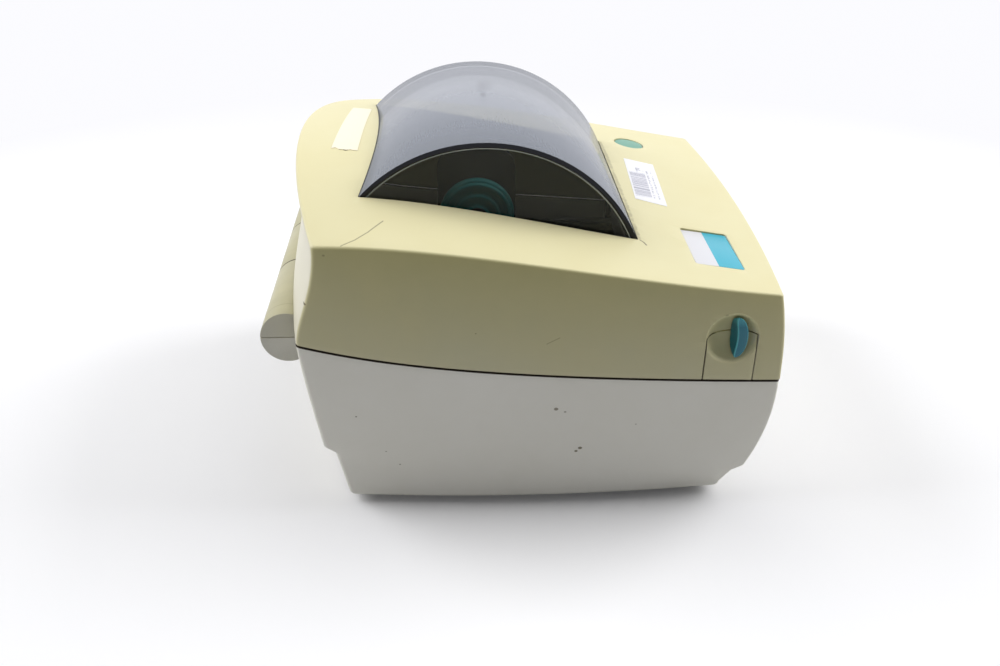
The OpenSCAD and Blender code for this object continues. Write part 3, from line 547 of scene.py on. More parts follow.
LID_TINT, LID_STAIN = colour(230, 223, 180), colour(219, 207, 152)
# Side colours of lid and base, low then high, are painted shade: darker and browner than the tops.
LID_SIDES_SHADED = colour(201, 197, 162), colour(180, 174, 120)
BASE_TINT, BASE_STAIN = colour(243, 241, 232), colour(226, 222, 206)
BASE_SIDES_SHADED = colour(242, 240, 231), colour(236, 234, 226)
# Barrel colours, top then ends: darkened by grime and by painted shade under the lid.
BARREL_GRIME_AND_SHADE = colour(172, 168, 137), colour(192, 190, 179)
# The pale colour is painted light on faces turned to the rear.
REAR_LIGHT_PALE, GRIME, SOIL = colour(214, 211, 197), colour(52, 43, 27), colour(110, 100, 70)

# Specks on the left side: y, z, size and depth in millimetres
SIDE_SPECKS = ((85.2, 100, 0.7, 0.9), (76.4, 120.4, 0.6, 0.5), (-78, 92.6, 0.9, 0.5),
               (68.5, 49, 0.5, 0.8), (52, 22.8, 0.5, 0.6), (57.4, 30.4, 0.4, 0.6),
               (-12, 52.8, 1.1, 0.8), (-15.7, 51.3, 0.6, 0.6),
               (-22.7, 32.2, 1, 0.9), (-21.1, 30.5, 0.8, 0.9), (20, 88, 0.4, 0.5), (-45, 44, 0.4, 0.5))
# Scratches on the top and the left side, as lines of points in millimetres
TOP_SCRATCH = ((-98.7, 69.7), (-95.1, 64.7), (-89.9, 60.1), (-85.6, 57.3), (-81.9, 54.8))
CORNER_MARK = ((-65.2, -48.3), (-67, -49.6), (-69.4, -50.3))
SIDE_SCRATCH = ((-7.6, 83), (-12.6, 85.6))


def band(finish, off, width, *stops):
    """Mask that follows the square of a distance from a line, in units of the line's width."""
    off = off / width
    return finish.ramp(off * off, *stops)


def line_mask(finish, a, b, points, width):
    """1 on a thin line through the points, in two of the object's coordinates."""
    mask = 0.0
    for (a0, b0), (a1, b1) in zip(points, points[1:]):
        a0, b0, a1, b1 = (value * MM for value in (a0, b0, a1, b1))
        run = (a1 - a0) ** 2 + (b1 - b0) ** 2
        share = (((a - a0) * (a1 - a0) + (b - b0) * (b1 - b0)) / run).most(0).least(1)
        off = (a - a0 - share * (a1 - a0)) ** 2 + (b - b0 - share * (b1 - b0)) ** 2
        mask = mask + finish.ramp(off / width ** 2, (0.3, 1), (1, 0))
    return mask.least(1)


def housing(name, tint, stain, sides):
    """Aged housing plastic: sides yellowed more and painted darker as shade, darkest near their top edge; rear
    faces painted paler as light from behind; the hinge barrel darkened by grime and painted shade; grime in the
    seams and a few specks and scratches.
    """
    finish = Finish(name, tint, 0.42, Specular_IOR_Level=0.4)
    x, y, z = finish.place()
    out_x, out_y, _ = finish.split(finish.node("ShaderNodeTexCoord").outputs["Normal"])
    broad = finish.noise(14, 4)
    fine = finish.noise(1600, 2)
    mottle = finish.noise(90, 4)
    patches = finish.ramp(broad, (0.35, 0), (0.72, 1)) * 0.26
    t = (y - FRONT_Y) / DEPTH
    off_seam = z - (PART_FRONT + t * PART_RISE + t.most(0) ** 5 * PART_KICK)
    height = finish.ramp(off_seam * (1 / (50 * MM)) + (broad - 0.5) * 0.3, (0.05, 0), (0.95, 1))
    # Painted shade: faces turned sideways take the darker side colours, darkest towards the top edge.
    layer = finish.blend(out_x ** 2, tint, finish.blend(height, *sides))
    layer = finish.blend(patches + (mottle - 0.5) * 0.2, layer, stain)
    from_axis = ((y - HINGE.y) ** 2 + (z - HINGE.z) ** 2) / BARREL_R ** 2
    barrel = (x * x < (BARREL_HALF + 0.5 * MM) ** 2) * finish.ramp(from_axis * 0.5, (0.53, 1), (0.8, 0))
    # Painted light: faces turned to the rear are painted paler.
    rear = finish.ramp(out_y, (0.7, 0), (0.9, 1))
    layer = finish.blend(rear * 0.75, layer, REAR_LIGHT_PALE)
    # Grime and painted shade darken the hinge barrel.
    layer = finish.blend(barrel * (0.6 + mottle * 0.4), layer, finish.blend(out_x ** 2, *BARREL_GRIME_AND_SHADE))
    off_middle = (x * x) ** 0.5
    joint = (band(finish, off_middle - KNUCKLE_HALF - BARREL_GAP / 2, 0.55 * MM, (0.6, 1), (1, 0))
             + band(finish, off_middle - BARREL_HALF + 9 * MM, 0.3 * MM, (0.3, 0.25), (1, 0)))
    layer = finish.blend(barrel * joint * 0.85, layer, GRIME)
    # Grime where the lid meets the base and round the latch panel
    seam = finish.ramp(off_seam * off_seam / (0.62 * MM) ** 2 + (mottle - 0.5) * 0.5,
                       (0.75, 1), (1.15, 0))
    seam = seam * ((x * x > BARREL_HALF ** 2).most(y < 0))
    near = (x * x > (HALF_W - 4 * MM) ** 2) * (off_seam > 0)
    across = y - DISH_Y
    up = z - DISH_Z
    half = DISH_R * 0.995
    lean = across + up * PANEL_LEAN
    upright = band(finish, (lean * lean) ** 0.5 - half, 0.24 * MM, (0.5, 1), (1, 0)) * (up < 0.3 * MM)
    arch = band(finish, up - 0.3 * MM + across * 0.054, 0.22 * MM, (0.5, 1), (1, 0))
    arch = arch * (across * across < half ** 2)
    panel = near * (upright.most(arch))
    layer = finish.blend(seam.most(panel * 0.7), layer, GRIME)
    left = x < -HALF_W * 0.9
    specks = 0.0
    for at_y, at_z, size, depth in SIDE_SPECKS:
        spot = ((y - at_y * MM) ** 2 + (z - at_z * MM) ** 2 * 1.6) / (size * MM) ** 2
        specks = specks + finish.ramp(spot + (mottle - 0.5) * 0.8, (0.5, 1), (1.1, 0)) * depth
    high = z > PART_FRONT + 30 * MM
    scratch = line_mask(finish, x, y, TOP_SCRATCH, 0.35 * MM) * high * 0.6
    scratch = scratch + line_mask(finish, y, z, SIDE_SCRATCH, 0.25 * MM) * left * 0.4
    scratch = scratch + line_mask(finish, x, y, CORNER_MARK, 0.4 * MM) * high
    # Brown dust in the front edge of the window opening
    edge = (y - WINDOW_LOW.y - 2.1 * MM) / (1.1 * MM)
    dust = finish.ramp(edge * edge + (finish.noise(420, 3) - 0.5) * 3, (0.1, 1), (0.9, 0))
    scratch = scratch + dust * (x * x < WINDOW_HALF ** 2) * high * 0.35
    layer = finish.blend((specks * left + scratch).least(0.9), layer, SOIL)
    finish.set("Base Color", layer)
    finish.set("Roughness", 0.42 + (broad - 0.5) * 0.12 + (fine - 0.5) * 0.1)
    finish.bump(fine, 0.15, 0.05 * MM)
    return finish


lid_plastic = housing("lid_plastic", LID_TINT, LID_STAIN, LID_SIDES_SHADED)
base_plastic = housing("base_plastic", BASE_TINT, BASE_STAIN, BASE_SIDES_SHADED)
black_plastic = moulded("black_plastic", colour(32, 33, 36), colour(44, 44, 47), 0.5, 0)
teal_plastic = moulded("teal_plastic", colour(4, 142, 142), colour(24, 160, 156), 0.3, 0.2, 0.08)
button_plastic = moulded("button_plastic", colour(116, 168, 150), colour(98, 148, 132), 0.4, 0.3)
gear_plastic = moulded("gear_plastic", colour(226, 222, 204), colour(206, 200, 178), 0.38, 0.2)
rubber = moulded("rubber", colour(30, 30, 31), colour(48, 47, 46), 0.72, 0.8)
steel = metal("steel", (0.58, 0.58, 0.6), 0.3, (1, 12, 12))
brass = metal("brass", colour(196, 160, 92), 0.3)
aluminium = metal("aluminium", (0.72, 0.73, 0.75), 0.34, (1, 20, 1))
ceramic = moulded("ceramic", colour(206, 190, 160), colour(180, 160, 126), 0.25, 0.1)


def tab_finish():
    """Teal moulding with painted highlights: the rims of its crescent and its upper end are painted a lighter
    cyan.
    """
    tint, highlight_cyan = colour(0, 112, 130), colour(96, 196, 206)
    finish = Finish("latch_plastic", tint, 0.3, Specular_IOR_Level=0.5)
    x, y, z = finish.place()
    broad = finish.noise(160, 3)
    up = (z - DISH_Z) / TAB_HALF
    turn = (1 - up * up).most(0) ** 0.5
    front = (y - TAB_Y + turn * TAB_BELLY) / (0.5 * MM)
    rear = (y - TAB_Y - turn ** 0.6 * MM + turn ** 3 * (1.3 * MM)) / (0.4 * MM)
    # Painted highlight on the crescent's rims, on the outer face only, and on the tab's upper end.
    rim_highlight = finish.ramp((front * front).least(rear * rear) + (broad - 0.5) * 0.5, (0.1, 1), (1, 0))
    painted_highlight = rim_highlight * (x * x > (side_x(DISH_Y) - MM) ** 2) * 0.7
    painted_highlight = painted_highlight + finish.ramp(up, (0.55, 0), (1, 0.5))
    cloudy = finish.blend(broad * 0.4, tint, colour(0, 92, 116))
    finish.set("Base Color", finish.blend(painted_highlight.least(1), cloudy, highlight_cyan))
    finish.set("Roughness", 0.26 + broad * 0.16)
    return finish


latch_plastic = tab_finish()


def sticker_finish():
    """White label stock with a row of plain grey bars and a finer broken line beside them."""
    paper, ink = colour(247, 247, 252), colour(150, 150, 168)
    finish = Finish("sticker_paper", paper, 0.5, Specular_IOR_Level=0.3)
    x, y, _ = finish.place()
    across = y + x * 0.0593
    fibre = finish.noise(700, 4)

    def within(value, low, high):
        return (value > low * MM) * (value < high * MM)

    lines = finish.node("ShaderNodeTexNoise", {"noise_dimensions": "1D"}, {
        "W": x - y * 0.0593, "Scale": 950, "Detail": 2, "Roughness": 0.7}).outputs["Fac"]
    bars = finish.ramp(Number(finish, lines), (0.44, 0), (0.52, 1))
    row = within(across, -63.2, -55.6) * within(x, -13, 21)
    block_end = within(across, -63, -59.2) * within(x, 22.5, 28.5) * (finish.noise(420, 1) > 0.5)
    thin = (within(across, -65, -64) + within(across, -67, -66.2)) * within(x, -13, 26)
    thin = thin * (finish.noise(800, 1) > 0.5)
    mask = row * bars * 0.8 + block_end * 0.7 + thin * 0.6
    white = finish.blend(fibre * 0.3, paper, colour(238, 238, 244))
    finish.set("Base Color", finish.blend(mask, white, ink))
    finish.set("Roughness", 0.42 + fibre * 0.15)
    finish.bump(fibre, 0.08, 0.03 * MM)
    return finish


def tape_finish():
    """Aged paper tape: cream, faintly crinkled, with a dirty near end."""
    paper = colour(253, 246, 226)
    finish = Finish("tape_paper", paper, 0.55, Specular_IOR_Level=0.25)
    x, _, _ = finish.place()
    crinkle = finish.noise(260, 5, 0.65, (1, 3, 1))
    dirt = finish.ramp((x + 22.8 * MM) * 1000 + crinkle * 1.2, (0.9, 1), (1.7, 0))
    cream = finish.blend(crinkle * 0.35, paper, colour(240, 230, 200))
    finish.set("Base Color", finish.blend(dirt * 0.8, cream, colour(120, 108, 78)))
    finish.bump(crinkle, 0.2, 0.1 * MM)
    return finish


sticker_paper = sticker_finish()
tape_paper = tape_finish()


def board_finish():
    """Green solder mask with lighter copper tracks."""
    finish = Finish("board_green", colour(16, 84, 46), 0.3, Specular_IOR_Level=0.5)
    tracks = finish.node("ShaderNodeTexBrick", {"offset": 0.37}, {
        "Vector": finish.coordinates, "Color1": (0, 0, 0, 1), "Color2": (0, 0, 0, 1),
        "Mortar": (1, 1, 1, 1), "Scale": 70, "Mortar Size": 0.04}).outputs["Color"]
    finish.set("Base Color", finish.blend(tracks, colour(14, 74, 40), colour(48, 128, 66)))
    return finish


board_green = board_finish()


def smoke_finish(name, tint, haze_tint, clear, haze_share, with_rim_highlight=False):
    """Smoked clear plastic, hazed by fine wear and more opaque when seen at a slant."""
    finish = Finish(name, tint, 0.12, Specular_IOR_Level=0.5)
    slant = Number(finish, finish.node("ShaderNodeLayerWeight", {}, {"Blend": 0.5}).outputs["Facing"])
    cloud = finish.noise(22, 4)
    hair = finish.noise(160, 5, 0.7, (1, 9, 9))
    haze = haze_share + (cloud - 0.5) * 0.12 + (hair - 0.5) * 0.1
    x, y, z = finish.place()
    smudge = 0.0
    for at_x, at_y, size, depth in SMUDGES:
        off = ((x - at_x) ** 2 + (y - at_y) ** 2 * 12) * (1 / size ** 2)
        smudge = smudge + finish.ramp(off + (hair - 0.5) * 1.4, (0, 1), (1, 0)) * depth
    layer = finish.blend(haze - smudge * 0.6, tint, haze_tint)
    alpha = clear + slant * slant * 0.45 + smudge * 0.3
    if with_rim_highlight:
        # Painted highlight: a pale line where the flat end meets the curved skin
        off = ((y - WINDOW_Y) ** 2 + (z - WINDOW_Z) ** 2) ** 0.5 - (WINDOW_R - WINDOW_T - 0.5 * MM)
        ring = finish.ramp(off * off / (0.2 * MM) ** 2, (0.3, 1), (1, 0))
        layer = finish.blend(ring, layer, colour(196, 204, 206))
        alpha = alpha.most(ring * 0.9)
    finish.set("Base Color", layer)
    finish.set("Alpha", alpha)
    finish.set("Roughness", 0.06 + haze * 0.12)
    return finish


# Rubbed marks on top of the window: x, y, size and depth
SMUDGES = ((21 * MM, 13.5 * MM, 9 * MM, 0.7), (4 * MM, 13.3 * MM, 6 * MM, 0.6),
           (25 * MM, 10.3 * MM, 7 * MM, 0.6))
smoke_window = smoke_finish("smoke_window", colour(66, 72, 84), colour(190, 196, 208), 0.34, 0.72)
# The flat ends take a darker copy of the same smoked plastic: painted shade.
smoke_end_shaded = smoke_finish("smoke_end_shaded", colour(26, 30, 30), colour(60, 66, 62), 0.3, 0.3, True)


# The rim's end faces are painted near-black navy: painted shade for the dark look of the clear wall seen edge-on.
def rim_finish():
    finish = Finish("window_rim", colour(9, 14, 26), 0.12, Specular_IOR_Level=0.25)
    haze = finish.noise(60, 3)
    finish.set("Roughness", 0.06 + haze * 0.06)
    return finish


window_rim = rim_finish()


def badge_finish():
    """Two-tone plate: pale behind, cyan in front."""
    finish = Finish("badge_plastic", colour(226, 226, 232), 0.3, Specular_IOR_Level=0.45)
    _, y, _ = finish.place()
    split = BADGE_Y + BADGE_D * 0.03
    fine = finish.noise(900, 2)
    finish.set("Base Color", finish.blend(y < split, colour(228, 228, 233), colour(64, 181, 205)))
    finish.set("Roughness", 0.28 + fine * 0.1)
    return finish


badge_plastic = badge_finish()

# ---------- housing ----------
LID_LEVELS = [i / 14 for i in range(15)]
ROUND_ANGLES = [18, 36, 54, 72, 90]
LID_SHRINKS = [0.96, 0.9, 0.83, 0.75, 0.67, 0.59, 0.51, 0.43, 0.35, 0.27, 0.19, 0.11, 0.05]
INNER_SHRINKS = [0.85, 0.7, 0.55, 0.4, 0.25, 0.1]
BASE_LEVELS = [i / 10 for i in range(11)]


def lid_block(name, inset=0.0, below=0.0):
    """Lid as a closed block, set in from its outer surface and carried down by below."""
    inner = inset > 0
    r = EDGE_R / 4 if inner else EDGE_R

    def plan(w, q):
        return outline(HALF_W - inset - q, lid_front(w) + inset + q, lid_rear(w) - inset - q,
                       mix(REAR_BOW_LOW, REAR_BOW, w ** 3))

    def low_z(y):
        return part_z(y) + SEAM / 2 - below

    rings = [[(x, y, low_z(y)) for x, y in shrink(plan(0, 0), 0.97)]]
    for w in LID_LEVELS:
        rings.append([(x, y, mix(low_z(y), top_z(x, y) - inset - r, w)) for x, y in plan(w, 0)])
    for angle in map(math.radians, ROUND_ANGLES):
        rings.append([(x, y, top_z(x, y) - inset - r * (1 - math.sin(angle)))
                      for x, y in plan(1, r * (1 - math.cos(angle)))])
    for s in INNER_SHRINKS if inner else LID_SHRINKS:
        rings.append([(x, y, top_z(x, y) - inset) for x, y in shrink(plan(1, r), s)])
    return rings_up(name, rings)


def base_block(name, inset=0.0, above=0.0):
    """Base as a closed block, set in from its outer surface; above lifts its open top."""
    inner = inset > 0
    low = FOOT_H + inset
    r = MM if inner else FOOT_R

    def high_z(y):
        return part_z(y) - SEAM / 2 + above

    def plan(s, q, d):
        return outline(HALF_W - 0.2 * MM - SIDE_RAKE * s * s - q - inset,
                       FRONT_Y - 0.1 * MM + FRONT_RAKE * s * s + q + d + inset,
                       REAR_Y + 0.1 * MM - REAR_RAKE * s - q - d - inset,
                       mix(REAR_BOW_LOW, REAR_BOW, min(1, s / 0.35)))

    deeper = STEP_IN - LEDGE_IN
    rings = [[(x, y, high_z(y)) for x, y in shrink(plan(0, 0, 0), 0.97)]]
    for s in BASE_LEVELS:
        rings.append([(x, y, mix(high_z(y), step_z(y), s)) for x, y in plan(s, 0, 0)])
    for t in (0, 0.33, 0.67, 1):
        rings.append([(x, y, mix(step_z(y) - STEP_DROP, low + r, t))
                      for x, y in plan(1, LEDGE_IN + SKIRT_RAKE * t, deeper)])
    for angle in map(math.radians, (22, 45, 67, 90)):
        rings.append([(x, y, low + r * (1 - math.sin(angle)))
                      for x, y in plan(1, LEDGE_IN + SKIRT_RAKE + r * (1 - math.cos(angle)), deeper)])
    return rings_up(name, rings)


def upper_half(name, x0, x1, r):
    """Upper half of a bar on the hinge axis."""
    bar = bar_x(name, x0, x1, (HINGE.y, HINGE.z), r)
    return carve(bar, block("half", (x0 - MM, 0, HINGE.z), (x1 + MM, FAR, FAR)), how="INTERSECT")


def knuckle(name, side, upper):
    """Fixed outer knuckle of the hinge, above or below the axis."""
    x0, x1 = sorted((side * (KNUCKLE_HALF + BARREL_GAP), side * BARREL_HALF))
    bar = bar_x(name, x0, x1, (HINGE.y, HINGE.z), BARREL_R)
    bore_end = side * (BARREL_HALF - 2.5 * MM)
    carve(bar, bar_x("bore", min(0, bore_end), max(0, bore_end), (HINGE.y, HINGE.z),
                     PIN_R + 0.05 * MM, 48))
    low, high = (HINGE.z + 0.1 * MM, FAR) if upper else (0, HINGE.z)
    return carve(bar, block("half", (-FAR, 0, low), (FAR, FAR, high)), how="INTERSECT")


def base_shell():
    shell = base_block("base_shell")
    carve(shell, base_block("hollow", WALL, 8 * MM),
          bar_x("middle", -KNUCKLE_HALF - BARREL_GAP, KNUCKLE_HALF + BARREL_GAP, (HINGE.y, HINGE.z),
                BARREL_R + BARREL_GAP),
          upper_half("room", -BARREL_HALF - FIT, BARREL_HALF + FIT, BARREL_R + FIT),
          block("behind", (-BARREL_HALF, HINGE.y + PIN_R + MM, HINGE.z), (BARREL_HALF, FAR, FAR)),
          block("ports", (-PORTS_HALF, REAR_Y - 20 * MM, PORTS_LOW), (PORTS_HALF, FAR, PORTS_HIGH)),
          block("slot", (-SLOT_HALF, -FAR, NIP_Z - 2.5 * MM), (SLOT_HALF, PLATEN.y - 7 * MM, FAR)))
    keepers = []
    for side in (-1, 1):
        carve(shell, knuckle("lower_knuckle", side, False), how="UNION")
        x0, x1 = sorted((side * FAR, side * (HALF_W - 12.4 * MM)))
        keeper = block("keeper", (x0, DISH_Y + 4.8 * MM, PART_FRONT - 12 * MM),
                       (x1, DISH_Y + 9 * MM, PART_FRONT - 6 * MM))
        keepers.append(carve(keeper, base_block("within", WALL / 2), how="INTERSECT"))
    low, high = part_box("rubber_feet")
    foot_x, foot_front, foot_rear = high.x - 8 * MM, low.y + 8 * MM, high.y - 8 * MM
    for x in (-foot_x, foot_x):
        for y in (foot_front, foot_rear):
            bpy.ops.mesh.primitive_cylinder_add(vertices=64, radius=8.3 * MM, depth=2 * MM,
                                                location=(x, y, 2.6 * MM))
            carve(shell, added("foot_seat"))
    finish_edges(shell)
    smooth(join(shell, *keepers))
    return place(shell, "base", "base_plastic", base_plastic.material, "base_case")


def panel_outline(grow):
    """Latch panel seen from the side, with leaning sides that run on down to the floor."""
    lean = DISH_Z * PANEL_LEAN
    return [(PANEL_FRONT - grow + lean, 0), (PANEL_REAR + grow + lean, 0),
            (PANEL_REAR + grow, DISH_Z - 0.25 * MM + grow), (DISH_Y, DISH_Z + 0.3 * MM + grow),
            (PANEL_FRONT - grow, DISH_Z + 0.85 * MM + grow)]


def square_to_side(pulled=0.0):
    """Turn about the dish's middle that sets a shape square to the bowed left side."""
    middle = Matrix.Translation((-side_x(DISH_Y), DISH_Y + pulled, DISH_Z))
    slope = math.atan((side_x(DISH_Y + MM) - side_x(DISH_Y - MM)) / (2 * MM))
    return middle @ Matrix.Rotation(slope, 4, "Z") @ middle.inverted()


# Rounded rim of the dish: depth and distance out from its radius, in millimetres
SCOOP_RIM = ((-1, 3.65), (0, 0.9), (0.25, 0.5), (0.5, 0.22), (0.8, 0.02))
SCOOP_STEPS, SCOOP_SIDES = 16, 80


def scoop(name, side, gap=0.0, pulled=0.0):
    """Round dish with steep walls behind the latch tab; gap makes it smaller all round."""
    surface = -side_x(DISH_Y)
    rim = DISH_R - gap
    deep = DISH_DEPTH - gap
    profile = [(surface + depth * MM, rim + r * MM) for depth, r in SCOOP_RIM]
    for i in range(3, SCOOP_STEPS):
        r = rim * math.cos(math.pi / 2 * i / SCOOP_STEPS) * 0.995
        profile.append((surface + deep * (1 - (r / rim) ** 2.8) ** 0.75, r))
    turns = [2 * math.pi * j / SCOOP_SIDES for j in range(SCOOP_SIDES)]
    piece = rings_up(name, [[(x, DISH_Y + pulled + r * math.cos(a), DISH_Z + r * math.sin(a))
                             for a in turns] for x, r in profile])
    piece.data.transform(square_to_side(pulled))
    if side < 0:
        return piece
    twin = mirrored(piece, name)
    bpy.data.objects.remove(piece)
    return twin


def lid_fittings():
    """Posts of the inner frame and the button board, and the rails of the latches."""
    low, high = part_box("lid_frame")
    posts = []
    for x in (-POST_X, POST_X):
        for y in (low.y + 8 * MM, high.y - 7 * MM):
            bpy.ops.mesh.primitive_cylinder_add(vertices=32, radius=4 * MM, depth=50 * MM,
                                                location=(x, y, high.z + 25 * MM))
            posts.append(added("post"))
            # Thin ribs that stiffen the post
            posts.append(block("rib", (x - 7 * MM, y - 0.8 * MM, high.z + 4 * MM),
                               (x + 7 * MM, y + 0.8 * MM, FAR)))
    for x in (-7, 9):
        posts.append(top_bar("button_post", BUTTON_X + x * MM, BUTTON_Y + 9.5 * MM, 2 * MM,
                             -12 * MM, 5 * MM, 24))
    for side in (-1, 1):
        x0, x1 = sorted((side * FAR, side * (HALF_W - 14.9 * MM)))
        posts.append(block("rail", (x0, DISH_Y - 14 * MM, DISH_Z + 12.3 * MM),
                           (x1, DISH_Y + 24 * MM, DISH_Z + 15 * MM)))
    within = lid_block("within", WALL / 2)
    for post in posts:
        carve(post, copy(within, "within"), how="INTERSECT")
    bpy.data.objects.remove(within)
    return join(*posts)


def lid_body():
    """Lid with everything but its seams cut."""
    shell = lid_block("lid_shell")
    carve(shell, lid_block("hollow", WALL, 8 * MM))
    for side in (-1, 1):
        inner, outer = HALF_W - 9 * MM, side_x(DISH_Y) - 1.5 * MM
        x0, x1 = sorted((side * inner, side * outer))
        carve(shell, bar_x("boss", x0, x1, (DISH_Y, DISH_Z), DISH_R + 1.6 * MM), how="UNION")
        carve(shell, scoop("scoop", side))
        x0, x1 = sorted((side * (HALF_W - 12 * MM), side * (HALF_W - 2 * MM)))
        carve(shell, block("stem_slot", (x0, DISH_Y - 6.5 * MM, DISH_Z - 4.3 * MM),
                           (x1, DISH_Y - 1.2 * MM, DISH_Z + 4.3 * MM)))
    return shell


def on_top(x, y):
    """Place on the lid's top with Z along its slope."""
    return Matrix.Translation((x, y, top_z(x, y))) @ Matrix.Rotation(top_slope(y), 4, "X")


def top_bar(name, x, y, r, low, high, sides=64):
    """Round bar square to the lid's top."""
    bpy.ops.mesh.primitive_cylinder_add(vertices=sides, radius=r, depth=high - low,
                                        location=(0, 0, (low + high) / 2))
    bar = added(name)
    bar.data.transform(on_top(x, y))
    return bar


def top_plate(name, x, y, w, d, low, high, r, segments=5):
    """Plate with rounded corners, laid on the lid's slope."""
    plate = block(name, (-w / 2, -d / 2, low), (w / 2, d / 2, high))
    mesh = edit(plate, "EDGE")
    for edge in mesh.edges:
        a, b = (v.co for v in edge.verts)
        edge.select = abs(a.z - b.z) > (high - low) / 2
    bpy.ops.mesh.bevel(offset=r, segments=segments, affect="EDGES")
    leave(plate)
    plate.data.transform(on_top(x, y))
    return plate


def lid_and_panels():
    body = lid_body()
    surface = -HALF_W + 12 * MM
    panels = {}
    for side, word in ((-1, "left"), (1, "right")):
        x0, x1 = sorted((side * FAR, side * -surface))
        panel = copy(body, "panel_" + word)
        carve(panel, extrude_yz("keep", panel_outline(0), x0, x1), how="INTERSECT")
        panels[word] = panel
    for side in (-1, 1):
        x0, x1 = sorted((side * FAR, side * -surface))
        carve(body, extrude_yz("cut", panel_outline(PANEL_SEAM), x0, x1))
    x = WINDOW_HALF + FIT
    carve(body, bar_x("window_room", -x, x, (WINDOW_Y, WINDOW_Z), WINDOW_R + FIT, 192))
    for side in (-1, 1):
        x0, x1 = sorted((side * KNUCKLE_HALF, side * (BARREL_HALF + BARREL_GAP)))
        carve(body, bar_x("knuckle_room", x0, x1, (HINGE.y, HINGE.z), BARREL_R + BARREL_GAP))
    carve(body, bar_x("middle", -KNUCKLE_HALF, KNUCKLE_HALF, (HINGE.y, HINGE.z), BARREL_R), how="UNION")
    carve(body, bar_x("bore", -KNUCKLE_HALF - MM, KNUCKLE_HALF + MM, (HINGE.y, HINGE.z),
                      PIN_R + 0.05 * MM, 48),
          block("slot", (-SLOT_HALF, -FAR, 0), (SLOT_HALF, PLATEN.y - 7 * MM, NIP_Z + SLOT_UP)),
          top_bar("button_hole", BUTTON_X, BUTTON_Y, BUTTON_R + FIT, -20 * MM, 20 * MM),
          top_plate("badge_seat", BADGE_X, BADGE_Y, BADGE_W + 0.4 * MM, BADGE_D + 0.4 * MM,
                    -BADGE_DEPTH, 10 * MM, 1.2 * MM))
    finish_edges(body)
    # Faces of many corners are split well, which keeps slivers out of the curved sides
    use(body, "TRIANGULATE", ngon_method="BEAUTY", quad_method="BEAUTY", min_vertices=5)
    smooth(join(body, lid_fittings()))
    place(body, "lid", "lid_plastic", lid_plastic.material, "lid_cover")
    for word, panel in panels.items():
        finish_edges(panel)
        place(panel, "lid", "lid_plastic", lid_plastic.material, "latch_panel_" + word)


def hinge_caps():
    for side, word in ((-1, "left"), (1, "right")):
        cap = knuckle("cap_" + word, side, True)
        finish_edges(cap, 0.3 * MM)
        place(cap, "base", "lid_plastic", lid_plastic.material, "hinge_cap_" + word)


def window_cover():
    """Smoked half-round window, closed by flat ends set a little inside its rim."""
    axis = (WINDOW_Y, WINDOW_Z)
    cover = bar_x("window_cover", -WINDOW_HALF, WINDOW_HALF, axis, WINDOW_R, 192)
    recess = 0.5 * MM
    for side in (-1, 1):
        x0, x1 = sorted((side * (WINDOW_HALF - recess), side * (WINDOW_HALF + MM)))
        carve(cover, bar_x("recess", x0, x1, axis, WINDOW_R - WINDOW_T, 192))
    inner = WINDOW_HALF - recess - WINDOW_T
    carve(cover, bar_x("hollow", -inner, inner, axis, WINDOW_R - WINDOW_T, 192))
    under = lid_block("under", WALL, 60 * MM)
    under.data.transform(Matrix.Translation((0, 0, -WINDOW_SKIRT)))
    carve(cover, under)
    finish_edges(cover, 0.12 * MM)
    place(cover, "lid", "smoke_window", smoke_window.material, "window")
    cover.data.materials.append(window_rim.material)
    cover.data.materials.append(smoke_end_shaded.material)
    points = cover.data.vertices
    for face in cover.data.polygons:
        least = min(math.hypot(points[i].co.y - WINDOW_Y, points[i].co.z - WINDOW_Z)
                    for i in face.vertices)
        at_end = abs(face.center.x) > WINDOW_HALF - recess - 0.05 * MM
        # Faces at the rim's end take the near-black rim finish, a painted shade.
        if at_end and least > WINDOW_R - WINDOW_T - 0.1 * MM:
            face.material_index = 1
        # The other faces of the flat ends take the darker copy of the smoke, a painted shade.
        elif abs(face.normal.x) > 0.5:
            face.material_index = 2


# ---------- latches ----------
LATCH_TRAVEL = 2.6 * MM
PLATE_IN = 10.4 * MM


def tab_ring(x, flare=0.0):
    """Crescent of the tab at one depth: full towards the front, nearly straight behind."""
    turns = [math.pi * i / 24 for i in range(25)]
    front = [(x, TAB_Y - TAB_BELLY * math.sin(a), DISH_Z + TAB_HALF * math.cos(a)) for a in turns]
    rear = [(x, TAB_Y + (MM + flare) * math.sin(a) ** 0.6 - 1.3 * MM * math.sin(a) ** 3,
             DISH_Z + TAB_HALF * math.cos(a)) for a in turns[-2:0:-1]]
    return front + rear


